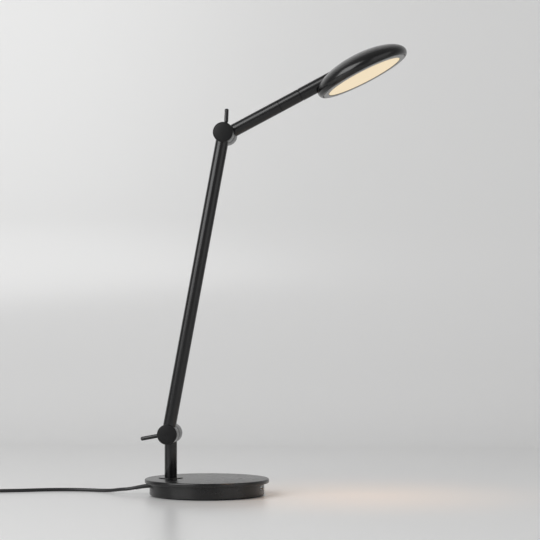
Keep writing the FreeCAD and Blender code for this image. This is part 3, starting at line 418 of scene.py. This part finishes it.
cordPlan = {
    "diameter": 5.0,
    "length": 1.75,
    "leadIn": [
        (-105.0, 0.0, 9.9), (-115.5, 1.4, 7.7), (-129.5, 9.0, 6.3), (-143.5, 20.0, 3.6),
        (-160.0, 29.0, 2.5), (-180.0, 35.5, 2.5), (-208.0, 39.5, 2.5), (-243.0, 33.0, 2.5),
        (-283.0, 15.0, 2.5), (-318.0, 5.0, 2.5), (-342.0, 4.8, 2.5),
    ],
    "coilCentre": (-372.0, -28.0),
    "coilStart": 90.0,
    "coilRadius": 27.5,
    "layers": 4,
    "turnsPerLayer": 2.0,
    "pitch": 5.8,
    "rise": 5.8,
    "climbTurns": 0.5,
    "pointsPerTurn": 14,
    "tail": [
        (-15.0, -0.5, -1.0), (-31.0, -5.0, -6.5), (-45.0, -15.5, -11.55), (-53.0, -31.5, -13.05),
        (-54.5, -48.0, -13.05),
    ],
}


def coilPoint(turns):
    # steady spiral in and out; each climb takes the half turn where it reverses
    perLayer, climbTurns = cordPlan["turnsPerLayer"], cordPlan["climbTurns"]
    phase = turns % (2 * perLayer)
    inward = min(phase, 2 * perLayer - phase)
    radius = cordPlan["coilRadius"] + cordPlan["pitch"] * (perLayer / 2 - inward)
    height = cordPlan["diameter"] / 2
    for layer in range(1, cordPlan["layers"]):
        climb = (turns - layer * perLayer + climbTurns / 2) / climbTurns
        height += cordPlan["rise"] * min(max(climb, 0), 1)
    angle = math.radians(cordPlan["coilStart"]) + math.tau * turns
    centreX, centreY = cordPlan["coilCentre"]
    return (centreX + radius * math.cos(angle), centreY + radius * math.sin(angle), height)


def cordRoute():
    totalTurns = cordPlan["layers"] * cordPlan["turnsPerLayer"]
    steps = int(totalTurns * cordPlan["pointsPerTurn"])
    route = list(cordPlan["leadIn"])
    route += [coilPoint(totalTurns * i / steps) for i in range(steps + 1)]
    lastX, lastY, lastZ = route[-1]
    lastX -= cordPlan["diameter"]
    route.append((lastX, lastY, lastZ))
    route += [(lastX + x, lastY + y, lastZ + z) for x, y, z in cordPlan["tail"]]
    return route


def makeCord():
    route = cordRoute()
    line = bpy.data.curves.new("powerCord", "CURVE")
    line.dimensions = "3D"
    line.bevel_depth = mm(cordPlan["diameter"] / 2)
    line.bevel_resolution = 6
    line.resolution_u = 6
    spline = line.splines.new("NURBS")
    spline.points.add(len(route) - 1)
    for point, (x, y, z) in zip(spline.points, route):
        point.co = (mm(x), mm(y), mm(z), 1)
    spline.order_u = 3
    spline.use_endpoint_u = True
    cord = bpy.data.objects.new("powerCord", line)
    bpy.context.scene.collection.objects.link(cord)
    dress(cord, "base", "cord_skin", finish["cordBlack"], "cord_lead", "cord_coil", "cord_tail")
    return cord, route


cord, cordPoints = makeCord()


plugPlan = {
    # each station: how far along, its width and its height
    "stations": [(0.0, 9.0, 9.0), (3.0, 9.6, 9.4), (12.0, 13.0, 11.0), (22.0, 25.6, 13.5),
                 (34.5, 23.4, 13.5), (36.0, 22.0, 12.2)],
    "pinRadius": 2.0,
    "pinOffset": 9.021,
    "pinLength": 19.0,
    "pinRound": 1.0,
}


def makePlug():
    # flat moulded body, pushed out section by section from the cord grip to the pin face
    endX, endY, endZ = (mm(value) for value in cordPoints[-1])
    place = placing((endX, endY, endZ), (0, -1, 0), (1, 0, 0))
    bm = bmesh.new()
    first = plugPlan["stations"][0]
    bmesh.ops.create_circle(bm, cap_ends=True, radius=0.5, segments=48)
    bmesh.ops.scale(bm, vec=(mm(first[1]), mm(first[2]), 1), verts=bm.verts)
    front = list(bm.faces)
    for before, station in zip(plugPlan["stations"], plugPlan["stations"][1:]):
        pushed = bmesh.ops.extrude_face_region(bm, geom=front)
        front = [item for item in pushed["geom"] if isinstance(item, bmesh.types.BMFace)]
        verts = [item for item in pushed["geom"] if isinstance(item, bmesh.types.BMVert)]
        bmesh.ops.scale(bm, vec=(station[1] / before[1], station[2] / before[2], 1), verts=verts)
        bmesh.ops.translate(bm, vec=(0, 0, mm(station[0] - before[0])), verts=verts)
    bmesh.ops.recalc_face_normals(bm, faces=bm.faces)
    body = asPiece("plugBody", bm, place)
    dress(body, "base", "black_plastic", finish["plugBlack"], "plug_body", smooth=50)
    pins = []
    face = plugPlan["stations"][-1][0]
    for sideName, side in (("Left", -1), ("Right", 1)):
        pin = disc(plugPlan["pinRadius"], face, face + plugPlan["pinLength"], steps=32)
        soften(pin, plugPlan["pinRound"])
        bmesh.ops.translate(pin, vec=(mm(side * plugPlan["pinOffset"]), 0, 0), verts=pin.verts)
        pinPiece = asPiece("plugPin" + sideName, pin, place)
        dress(pinPiece, "base", "steel", finish["brightSteel"], "plug_pins")
        pins.append(pinPiece)
    return [body] + pins


plugPieces = makePlug()
print("cord laid")


# Base

basePlan = {
    "discRadius": 90.0, "discLow": 18.5, "discTop": 24.5, "topRound": 2.0, "lowerRound": 1.4,
    "drumRadius": 83.0, "drumLow": 1.5, "drumWall": 3.0, "drumRound": 1.2,
    "touchX": 48.5, "touchRadius": 7.25, "touchDish": 0.8, "touchThickness": 1.4,
    "touchGap": 0.06, "touchDepth": 1.5, "touchEase": (0.25, 0.05),
    "collarBore": 6.3, "collarRadius": 17.5, "collarHeight": 1.2, "collarEase": 0.5, "collarRound": 0.12,
}


def makeTopDisc():
    plan = basePlan
    bm = disc(plan["discRadius"], plan["discLow"], plan["discTop"], steps=192)
    soften(bm, plan["topRound"], 5, keep=lambda edge: edgeHeight(edge) > mm(plan["discTop"] - 0.5))
    soften(bm, plan["lowerRound"], 4, keep=lambda edge: edgeHeight(edge) < mm(plan["discLow"] + 0.5))
    piece = asPiece("topDisc", bm)
    recess = disc(plan["touchRadius"] + plan["touchGap"], plan["discTop"] - plan["touchDepth"],
                  plan["discTop"] + 2, steps=64)
    cutAway(piece, recess, Matrix.Translation((mm(plan["touchX"]), 0, 0)))
    dress(piece, "base", "black_metal", finish["baseBlack"], "base_top_disc")


def makeTouchCap():
    # a shallow dish with an eased edge
    plan = basePlan
    radius, dish = plan["touchRadius"], plan["touchDish"]
    top = plan["discTop"]
    back = top - plan["touchThickness"]
    across, down = plan["touchEase"]
    profile = [(0, back), (radius, back), (radius, top - down), (radius - across, top)]
    shares = (0.92, 0.84, 0.75, 0.65, 0.55, 0.45, 0.35, 0.25, 0.12)
    profile += [(radius * share, top - dish * (1 + math.cos(math.pi * share)) / 2) for share in shares]
    profile += [(0, top - dish)]
    piece = asPiece("touchCap", spun(profile, 64), Matrix.Translation((mm(plan["touchX"]), 0, 0)))
    dress(piece, "base", "black_metal", finish["touchBlack"], "touch_cap")


def makeDrum():
    plan = basePlan
    low, top, outer = plan["drumLow"], plan["discLow"], plan["drumRadius"]
    bm = ring(outer - plan["drumWall"], outer, low, top, steps=192)
    soften(bm, plan["drumRound"], 4,
           keep=lambda edge: edgeHeight(edge) < mm(low + 0.5) and edgeRadius(edge) > mm(outer - 1))
    piece = asPiece("drum", bm)
    length = socketPlan["cutterLength"]
    opening = roundedBar(socketPlan["frameWidth"], socketPlan["frameHeight"], length,
                         socketPlan["frameCorner"])
    cutAway(piece, opening, socketPlace(outer - socketPlan["openingSunk"]))
    hole = disc(reliefPlan["holeRadius"], 0, length, steps=48)
    holeStart = (mm(-outer - reliefPlan["holeProud"]), 0, mm(reliefPlan["height"]))
    cutAway(piece, hole, placing(holeStart, (1, 0, 0), (0, 1, 0)))
    dress(piece, "base", "black_metal", finish["baseBlack"], "base_drum")


socketPlan = {
    "turn": -10.0, "height": 13.3, "mouth": 82.61, "gap": 0.1, "cutterLength": 8.0, "openingSunk": 5.0,
    "frameWidth": 16.0, "frameHeight": 8.4, "frameCorner": 1.0, "frameDepth": 3.8, "frameSunk": 3.6,
    "frameEase": 0.25, "holeSunk": 6.0,
    "shellWidth": 13.1, "shellHeight": 5.7, "shellCorner": 0.6, "shellWall": 0.45, "shellDepth": 14.0,
    "shellProud": 0.35, "shellFloor": 1.0, "insideCorner": 0.3,
    "tongueWidth": 11.1, "tongueThickness": 1.84, "tongueLength": 12.4, "tongueUp": 0.3,
    "tongueCorner": 0.15, "tongueRound": 0.2,
}


def socketPlace(distance):
    # local Z points out of the drum, local X runs along the socket's width
    angle = math.radians(socketPlan["turn"])
    out = Vector((math.cos(angle), math.sin(angle), 0))
    origin = out * mm(distance) + Vector((0, 0, mm(socketPlan["height"])))
    return placing(origin, out, (-math.sin(angle), math.cos(angle), 0))


def makeSocket():
    # surround, open steel shell and tongue
    plan = socketPlan
    mouth, gap, depth = plan["mouth"], plan["gap"], plan["shellDepth"]
    frameBar = roundedBar(plan["frameWidth"] - gap, plan["frameHeight"] - gap, plan["frameDepth"],
                          plan["frameCorner"] - gap / 2)
    soften(frameBar, plan["frameEase"], keep=lambda edge: edgeHeight(edge) > mm(plan["frameDepth"] - 0.1))
    surround = asPiece("socketFrame", frameBar, socketPlace(mouth - plan["frameSunk"]))
    hole = roundedBar(plan["shellWidth"] + gap, plan["shellHeight"] + gap, plan["cutterLength"],
                      plan["shellCorner"] + gap)
    cutAway(surround, hole, socketPlace(mouth - plan["holeSunk"]))
    dress(surround, "base", "black_plastic", finish["plugBlack"], "socket_frame")
    outside = roundedBar(plan["shellWidth"], plan["shellHeight"], depth + plan["shellProud"],
                         plan["shellCorner"])
    shell = asPiece("socketShell", outside, socketPlace(mouth - depth))
    wall = 2 * plan["shellWall"]
    inside = roundedBar(plan["shellWidth"] - wall, plan["shellHeight"] - wall, depth + 2,
                        plan["insideCorner"])
    floorPlace = socketPlace(mouth - depth + plan["shellFloor"])
    cutAway(shell, inside, floorPlace)
    dress(shell, "base", "steel", finish["brightSteel"], "socket_shell")
    tongueBar = roundedBar(plan["tongueWidth"], plan["tongueThickness"], plan["tongueLength"],
                           plan["tongueCorner"], 2)
    soften(tongueBar, plan["tongueRound"], 2)
    tongue = asPiece("socketTongue", tongueBar, floorPlace @ Matrix.Translation((0, mm(plan["tongueUp"]), 0)))
    dress(tongue, "base", "white_plastic", finish["whitePlastic"], "socket_tongue")


def makeCollar():
    plan = basePlan
    low = plan["discTop"]
    high = low + plan["collarHeight"]
    bore, outer, ease = plan["collarBore"], plan["collarRadius"], plan["collarEase"]
    profile = [(bore, low), (outer, low), (outer, high - ease), (outer - ease, high), (bore, high),
               (bore, low)]
    bm = spun(profile)
    soften(bm, plan["collarRound"], 2)
    collar = asPiece("postCollar", bm, postPlace)
    dress(collar, "base", "black_metal", finish["satinBlack"], "post_collar")


reliefPlan = {
    "height": 13.0,
    "holeRadius": 3.6,
    "holeProud": 3.0,
    "rootDepth": 5.0,
    "firstDroop": 4.0,
    # each section: how far on, its radius, and how much further it droops
    "sections": [(4.4, 3.1, 0), (0.05, 4.8, 0), (1.2, 4.8, 0), (0.25, 3.2, 0), (2.0, 3.1, 0.5),
                 (3.0, 3.0, 1.0), (3.0, 2.95, 1.5), (3.0, 2.85, 1.5), (3.0, 2.8, 1.5), (3.0, 2.75, 1.0),
                 (3.9, 2.7, 1.0), (0.4, 2.55, 0)],
}


def drooped(droop):
    # the way that the relief points once it has drooped by so many degrees
    angle = math.radians(droop)
    return Vector((-math.sin(angle), 0, math.cos(angle)))


def makeStrainRelief():
    # pushed out of the drum section by section, drooping a little towards its tip
    plan = reliefPlan
    radius = plan["sections"][0][1]
    droop = plan["firstDroop"]
    bm = bmesh.new()
    bmesh.ops.create_circle(bm, cap_ends=True, radius=mm(radius), segments=40)
    tilt = Matrix.Rotation(math.radians(-droop), 3, "Y")
    bmesh.ops.rotate(bm, cent=(0, 0, 0), matrix=tilt, verts=bm.verts)
    centre = drooped(droop) * mm(-plan["rootDepth"])
    bmesh.ops.translate(bm, vec=centre, verts=bm.verts)
    front = list(bm.faces)
    for advance, nextRadius, bend in plan["sections"]:
        pushed = bmesh.ops.extrude_face_region(bm, geom=front)
        front = [item for item in pushed["geom"] if isinstance(item, bmesh.types.BMFace)]
        verts = [item for item in pushed["geom"] if isinstance(item, bmesh.types.BMVert)]
        growth = nextRadius / radius
        bmesh.ops.scale(bm, vec=(growth, growth, growth), space=Matrix.Translation(-centre), verts=verts)
        tilt = Matrix.Rotation(math.radians(-bend), 3, "Y")
        bmesh.ops.rotate(bm, cent=centre, matrix=tilt, verts=verts)
        droop += bend
        step = drooped(droop) * mm(advance)
        bmesh.ops.translate(bm, vec=step, verts=verts)
        centre = centre + step
        radius = nextRadius
    bmesh.ops.recalc_face_normals(bm, faces=bm.faces)
    place = placing((mm(-basePlan["drumRadius"]), 0, mm(plan["height"])), (-1, 0, 0), (0, 0, 1))
    relief = asPiece("strainRelief", bm, place)
    dress(relief, "base", "rubber", finish["rubberBlack"], "strain_relief", smooth=50)


makeTopDisc()
makeTouchCap()
makeDrum()
makeSocket()
makeCollar()
makeStrainRelief()
print("base made")


# Knuckles

knucklePlan = {
    "hubRadius": 14.5, "cavityRadius": 11.0, "edgeEase": 0.45,
    "frontLow": -35.0, "frontHigh": -14.5, "rearLow": -13.5, "rearHigh": 15.0,
    "web": 3.0, "boltBore": 5.05, "rim": 1.3,
    "capDepth": 2.5, "capGap": 0.06, "capSeat": 0.05, "capEase": 0.35, "pipRadius": 1.2, "pipDepth": 0.4,
    "discInset": 1.0, "discFrontGap": 0.02, "discRearGap": 0.04,
    "leverY": -4.5, "leverRadius": 2.9, "leverNeck": 2.0, "leverShoulder": 10.4, "neckEnd": 17.0,
    "neckTaper": 1.2, "tipRound": 2.0,
    "slotHalf": 3.3, "slotMiddle": 14.0, "slotDepth": 8.0, "slotEnd": (9.0, 18.0),
}

# Each lever: its own turn, the ends of its travel, and how far it reaches out, in the same units.
leverPlan = {
    "lower": {"turn": 190.9, "first": 160.9, "last": 215.9, "reach": 44.2},
    "upper": {"turn": 87.5, "first": 75.5, "last": 117.5, "reach": 37.0},
}


def knucklePlace(knuckle, side):
    # local Z runs to the rear along the bolt
    return placing(knuckle, (0, 1, 0), side)


def makeRearHub(name, node, body, knuckle, lever):
    plan = knucklePlan
    low, high, outer = plan["rearLow"], plan["rearHigh"], plan["hubRadius"]
    bore, cavity, seat = plan["boltBore"], plan["cavityRadius"], outer - plan["rim"]
    ledge, web = high - plan["capDepth"], low + plan["web"]
    profile = [(bore, low), (outer, low), (outer, high), (seat, high), (seat, ledge), (cavity, ledge),
               (cavity, web), (bore, web), (bore, low)]
    bm = spun(profile, 120)
    soften(bm, plan["edgeEase"], 3, keep=lambda edge: edgeRadius(edge) > mm(outer - 0.1))
    place = knucklePlace(knuckle, turned(lever["turn"]))
    piece = asPiece(name, bm, place)
    half = plan["slotHalf"]
    # the slot is a band of the wall, swung from one end of the lever's travel to the other
    band = bmesh.new()
    bmesh.ops.create_grid(band, x_segments=1, y_segments=1, size=0.5)
    bmesh.ops.scale(band, vec=(mm(plan["slotDepth"]), mm(2 * half), 1), verts=band.verts)
    upright = Matrix.Rotation(math.radians(90), 3, "X")
    bmesh.ops.rotate(band, cent=(0, 0, 0), matrix=upright, verts=band.verts)
    bmesh.ops.translate(band, vec=(mm(plan["slotMiddle"]), 0, mm(plan["leverY"])), verts=band.verts)
    toStart = Matrix.Rotation(math.radians(lever["turn"] - lever["last"]), 3, "Z")
    bmesh.ops.rotate(band, cent=(0, 0, 0), matrix=toStart, verts=band.verts)
    bmesh.ops.spin(band, geom=list(band.faces), cent=(0, 0, 0), axis=(0, 0, 1),
                   angle=math.radians(lever["last"] - lever["first"]), steps=24)
    bmesh.ops.recalc_face_normals(band, faces=band.faces)
    cutAway(piece, band, place)
    for turn in (lever["first"], lever["last"]):
        end = disc(half, *plan["slotEnd"], steps=32)
        origin = knuckle + Vector((0, mm(plan["leverY"]), 0))
        cutAway(piece, end, placing(origin, turned(turn), (0, 1, 0)))
    dress(piece, body, "black_alloy", finish["satinBlack"], node)


def makeFrontHub(name, node, knuckle):
    plan = knucklePlan
    low, high, outer = plan["frontLow"], plan["frontHigh"], plan["hubRadius"]
    seat = outer - plan["rim"]
    ledge = low + plan["capDepth"]
    profile = [(0, ledge), (seat, ledge), (seat, low), (outer, low), (outer, high), (0, high)]
    bm = spun(profile, 120)
    soften(bm, plan["edgeEase"], 3, keep=lambda edge: edgeRadius(edge) > mm(outer - 0.1))
    hub = asPiece(name, bm, knucklePlace(knuckle, (1, 0, 0)))
    dress(hub, "lower_arm", "black_alloy", finish["satinBlack"], node)


def makeCap(name, node, body, knuckle, outerY, inward):
    # inset end cap with an eased edge and a small centre pip
    plan = knucklePlan
    radius = plan["hubRadius"] - plan["rim"] - plan["capGap"]
    depth = plan["capDepth"] - plan["capSeat"]
    pipRadius, pipDepth = plan["pipRadius"], plan["pipDepth"]
    profile = [(0, pipDepth), (pipRadius, pipDepth), (pipRadius, 0), (radius, 0), (radius, depth),
               (0, depth)]
    bm = spun(profile)
    soften(bm, plan["capEase"], 3,
           keep=lambda edge: edgeRadius(edge) > mm(radius - 0.1) and edgeHeight(edge) < mm(0.5))
    origin = knuckle + Vector((0, mm(outerY), 0))
    cap = asPiece(name, bm, placing(origin, (0, inward, 0), (1, 0, 0)))
    dress(cap, body, "black_metal", finish["capBlack"], node)


def makeLever(name, node, body, knuckle, lever):
    # a rod with a round tip, and a narrower neck where it passes the slot
    plan = knucklePlan
    neck, radius, reach = plan["leverNeck"], plan["leverRadius"], lever["reach"]
    shoulder, start = plan["leverShoulder"], plan["neckEnd"]
    bm = spun([(0, shoulder), (neck, shoulder), (neck, start), (radius, start + plan["neckTaper"]),
               (radius, reach), (0, reach)], 40)
    soften(bm, plan["tipRound"], 5, keep=lambda edge: edgeHeight(edge) > mm(reach - 0.1))
    origin = knuckle + Vector((0, mm(plan["leverY"]), 0))
    rod = asPiece(name, bm, placing(origin, turned(lever["turn"]), (0, 1, 0)))
    dress(rod, body, "black_metal", finish["satinBlack"], node)


def makeFrictionDisc(name, node, knuckle):
    plan = knucklePlan
    bm = ring(plan["boltBore"], plan["hubRadius"] - plan["discInset"],
              plan["frontHigh"] + plan["discFrontGap"], plan["rearLow"] - plan["discRearGap"])
    friction = asPiece(name, bm, knucklePlace(knuckle, (1, 0, 0)))
    dress(friction, "lower_arm", "black_plastic", finish["rubberBlack"], node)


makeRearHub("lowerRearHub", "lower_rear_hub", "post", lowerKnuckle, leverPlan["lower"])
makeRearHub("upperRearHub", "upper_rear_hub", "upper_arm", upperKnuckle, leverPlan["upper"])
makeFrontHub("lowerFrontHub", "lower_front_hub", lowerKnuckle)
makeFrontHub("upperFrontHub", "upper_front_hub", upperKnuckle)
makeCap("lowerFrontCap", "lower_front_cap", "lower_arm", lowerKnuckle, knucklePlan["frontLow"], 1)
makeCap("upperFrontCap", "upper_front_cap", "lower_arm", upperKnuckle, knucklePlan["frontLow"], 1)
makeCap("lowerRearCap", "lower_rear_cap", "post", lowerKnuckle, knucklePlan["rearHigh"], -1)
makeCap("upperRearCap", "upper_rear_cap", "upper_arm", upperKnuckle, knucklePlan["rearHigh"], -1)
makeLever("lowerLever", "lower_lever", "lower_clamp", lowerKnuckle, leverPlan["lower"])
makeLever("upperLever", "upper_lever", "upper_clamp", upperKnuckle, leverPlan["upper"])
makeFrictionDisc("lowerFrictionDisc", "lower_friction_disc", lowerKnuckle)
makeFrictionDisc("upperFrictionDisc", "upper_friction_disc", upperKnuckle)
print("knuckles made")


# Tubes

tubePlan = {
    "postRadius": 9.0, "postLow": 25.7, "postRound": 0.2, "armRadius": 9.25, "wall": 1.5, "hubOverlap": 10.0,
    "upperTubeStart": 11.0, "upperTubeEnd": 87.8, "sleeveEnd": 121.4, "sleeveBore": 6.1,
    "gap": 0.5, "seamRadius": 8.7, "seamFree": 0.03, "neckRadius": 9.5, "neckEnd": 186.0, "ease": 0.45,
}


def makePostTube():
    plan = tubePlan
    outer = plan["postRadius"]
    low, high = plan["postLow"], lampPlan["lowerKnuckleZ"] - plan["hubOverlap"]
    bm = ring(outer - plan["wall"], outer, low, high)
    soften(bm, plan["postRound"], 2,
           keep=lambda edge: edgeHeight(edge) < mm(low + 1) and edgeRadius(edge) > mm(outer - 0.5))
    dress(asPiece("postTube", bm, postPlace), "post", "black_metal", finish["satinBlack"], "post_tube")


def makeLowerArm():
    plan = tubePlan
    outer = plan["armRadius"]
    low = plan["hubOverlap"]
    bm = ring(outer - plan["wall"], outer, low, lampPlan["lowerArmLength"] - low)
    origin = lowerKnuckle + Vector((0, mm(lampPlan["frontTubeY"]), 0))
    place = placing(origin, turned(lampPlan["lowerArmTurn"]), (0, 1, 0))
    tube = asPiece("lowerArmTube", bm, place)
    dress(tube, "lower_arm", "black_alloy", finish["satinBlack"], "lower_arm_tube")


def makeUpperArm():
    plan = tubePlan
    outer = plan["armRadius"]
    low, high, ease = plan["upperTubeEnd"], plan["sleeveEnd"], plan["ease"]
    bm = ring(outer - plan["wall"], outer, plan["upperTubeStart"], low)
    tube = asPiece("upperArmTube", bm, upperArmPlace)
    dress(tube, "upper_arm", "black_alloy", finish["satinBlack"], "upper_arm_tube")
    # the sleeve's narrow shoulder fills the seam before the neck
    bore, seam = plan["sleeveBore"], plan["seamRadius"]
    top = high + plan["gap"] - plan["seamFree"]
    profile = [(bore, low), (outer - ease, low), (outer, low + ease), (outer, high - ease),
               (outer - ease, high), (seam, high), (seam, top), (bore, top), (bore, low)]
    sleeve = asPiece("swivelSleeve", spun(profile), upperArmPlace)
    dress(sleeve, "upper_arm", "black_metal", finish["satinBlack"], "swivel_sleeve")


def makeNeck():
    plan = tubePlan
    low, high = plan["sleeveEnd"] + plan["gap"], plan["neckEnd"]
    bore, outer, ease = plan["sleeveBore"], plan["neckRadius"], plan["ease"]
    profile = [(bore, low), (outer - ease, low), (outer, low + ease), (outer, high), (bore, high),
               (bore, low)]
    neck = asPiece("headNeck", spun(profile), upperArmPlace)
    dress(neck, "head", "black_alloy", finish["satinBlack"], "head_neck")


makePostTube()
makeLowerArm()
makeUpperArm()
makeNeck()
print("tubes made")


# Head

headPlan = {
    "radius": 70.4, "crown": 31.4, "rimHeight": 6.3, "lipArc": 7.1, "mouthRadius": 65.6, "mouthDepth": 2.0,
    "shelfWidth": 4.0, "bezelInner": 56.4, "bezelOuter": 64.6, "bezelProud": 0.8, "bezelEase": 0.25,
    "shadeRingWidth": 0.5, "fit": 0.02, "lensProud": 0.25, "lensGap": 0.04, "lensBack": 0.05,
}


def makeHeadShell():
    plan = headPlan
    # quarter of a circle, stretched to the dome's half ellipse
    bm = bmesh.new()
    start = bm.verts.new((1, 0, 0))
    bmesh.ops.spin(bm, geom=[start], cent=(0, 0, 0), axis=(0, -1, 0), angle=math.radians(90), steps=40)
    bmesh.ops.scale(bm, vec=(mm(plan["radius"]), 1, mm(plan["crown"] - plan["rimHeight"])), verts=bm.verts)
    bmesh.ops.translate(bm, vec=(0, 0, mm(plan["rimHeight"])), verts=bm.verts)
    # the rim rolls under to the lip
    centre = Vector((mm(plan["radius"] - plan["lipArc"]), 0, mm(plan["rimHeight"])))
    drop = math.asin(plan["rimHeight"] / plan["lipArc"])
    roll = bm.verts.new((mm(plan["radius"]), 0, mm(plan["rimHeight"])))
    rolled = bmesh.ops.spin(bm, geom=[roll], cent=centre, axis=(0, 1, 0), angle=drop, steps=14)
    lip = [item for item in rolled["geom_last"] if isinstance(item, bmesh.types.BMVert)][0]
    mouth, depth = mm(plan["mouthRadius"]), mm(plan["mouthDepth"])
    corner = bm.verts.new((mouth, 0, lip.co.z))
    shelf = bm.verts.new((mouth, 0, depth))
    inner = bm.verts.new((mm(plan["bezelInner"] - plan["shelfWidth"]), 0, depth))
    bm.edges.new((lip, corner))
    bm.edges.new((corner, shelf))
    bm.edges.new((shelf, inner))
    bmesh.ops.remove_doubles(bm, verts=bm.verts, dist=1e-7)
    bmesh.ops.spin(bm, geom=list(bm.verts) + list(bm.edges), cent=(0, 0, 0), axis=(0, 0, 1),
                   angle=math.tau, steps=192, use_merge=True)
    bmesh.ops.remove_doubles(bm, verts=bm.verts, dist=1e-7)
    bmesh.ops.holes_fill(bm, edges=[edge for edge in bm.edges if len(edge.link_faces) == 1], sides=0)
    bmesh.ops.recalc_face_normals(bm, faces=bm.faces)
    shell = asPiece("headShell", bm, headPlace)
    dress(shell, "head", "black_alloy", finish["headBlack"], "head_shell", smooth=40)


def makeBezel():
    # a flat grey ring, with a thin dark ring round the lit disc; the dark ring is painted shade, standing in
    # for the shadowed gap between the lit disc and the grey ring
    plan = headPlan
    inner, outer, ease, fit = plan["bezelInner"], plan["bezelOuter"], plan["bezelEase"], plan["fit"]
    low, back, seam = -plan["bezelProud"], plan["mouthDepth"] - fit, inner + plan["shadeRingWidth"]
    profile = [(seam, back), (seam, low), (outer - ease, low), (outer, low + ease), (outer, back),
               (seam, back)]
    bezel = asPiece("headBezel", spun(profile, 192), headPlace)
    dress(bezel, "head", "grey_plastic", finish["bezelGrey"], "head_bezel")
    # painted shade: a black ring put in place of the shadowed gap round the lit disc
    shadeRing = asPiece("lensShadeRing", ring(inner, seam - fit, low - fit, back, steps=192), headPlace)
    dress(shadeRing, "head", "grey_plastic", finish["capBlack"], "head_bezel")


def makeDiffuser():
    # the lit face lies a little deeper than the dark painted-shade ring around it
    plan = headPlan
    bm = disc(plan["bezelInner"] - plan["lensGap"], -plan["lensProud"],
              plan["mouthDepth"] - plan["lensBack"], steps=192)
    lens = asPiece("lightDiffuser", bm, headPlace)
    dress(lens, "head", "diffuser", finish["warmGlow"], "light_diffuser")


makeHeadShell()
makeBezel()
makeDiffuser()
print("head made")


# Nodes kept as they come, with their own finishes

keptFinishes = {
    "baseBlack": ["bottom_plate"],
    "rubberBlack": ["foot_pad"],
    "brightSteel": ["base_screws", "touch_contact", "swivel_stop_pin", "post_foot", "swivel_stop_washer",
                    "swivel_nut", "lower_thrust_washer", "lower_clamp_nut", "lower_clamp_bolt",
                    "upper_thrust_washer", "upper_clamp_nut", "upper_clamp_bolt", "head_spindle",
                    "spindle_nut", "head_screws"],
    "castIron": ["ballast_weight"],
    "boardGreen": ["circuit_board", "led_board"],
    "plugBlack": ["swivel_bush"],
    "whitePlastic": ["light_spacer"],
    "plateAluminium": ["heat_plate"],
    "leadRed": ["post_lead", "lower_arm_lead", "upper_arm_lead", "head_lead"],
}
for finishName, names in keptFinishes.items():
    for name in names:
        slots = nodes[name].data.materials
        slots.clear()
        slots.append(finish[finishName])
print("kept nodes finished")


# Light

lightPlan = {
    "world": (0.80, 0.80, 0.81), "worldStrength": 0.37,
    # each lamp: its name, place, size, power, aim, tint and spread in degrees
    "lamps": [
        ("keySoftbox", (-1.92, -2.10, 1.95), 2.8, 98, (0.05, 0.0, 0.35), (1.0, 1.0, 1.0), 180),
        ("fillPanel", (2.1, -1.3, 1.0), 2.4, 13, (0.05, 0.0, 0.35), (1.0, 1.0, 1.0), 180),
        ("warmPool", (0.235, -0.02, 0.545), 0.09, 0.09, (0.22, 0.02, 0.0), (1.0, 0.45, 0.08), 60),
    ],
}
world = bpy.data.worlds.new("studio")
bpy.context.scene.world = world
world.use_nodes = True
sky = world.node_tree.nodes["Background"]
sky.inputs["Color"].default_value = (*lightPlan["world"], 1)
sky.inputs["Strength"].default_value = lightPlan["worldStrength"]
for lampName, place, size, power, aim, tint, spread in lightPlan["lamps"]:
    lampData = bpy.data.lights.new(lampName, "AREA")
    lampData.size = size
    lampData.energy = power
    lampData.color = tint
    lampData.spread = math.radians(spread)
    lamp = bpy.data.objects.new(lampName, lampData)
    lamp.location = place
    lamp.rotation_euler = (Vector(aim) - Vector(place)).to_track_quat("-Z", "Y").to_euler()
    bpy.context.scene.collection.objects.link(lamp)

bpy.context.scene.view_settings.view_transform = "Standard"
print("lights set")
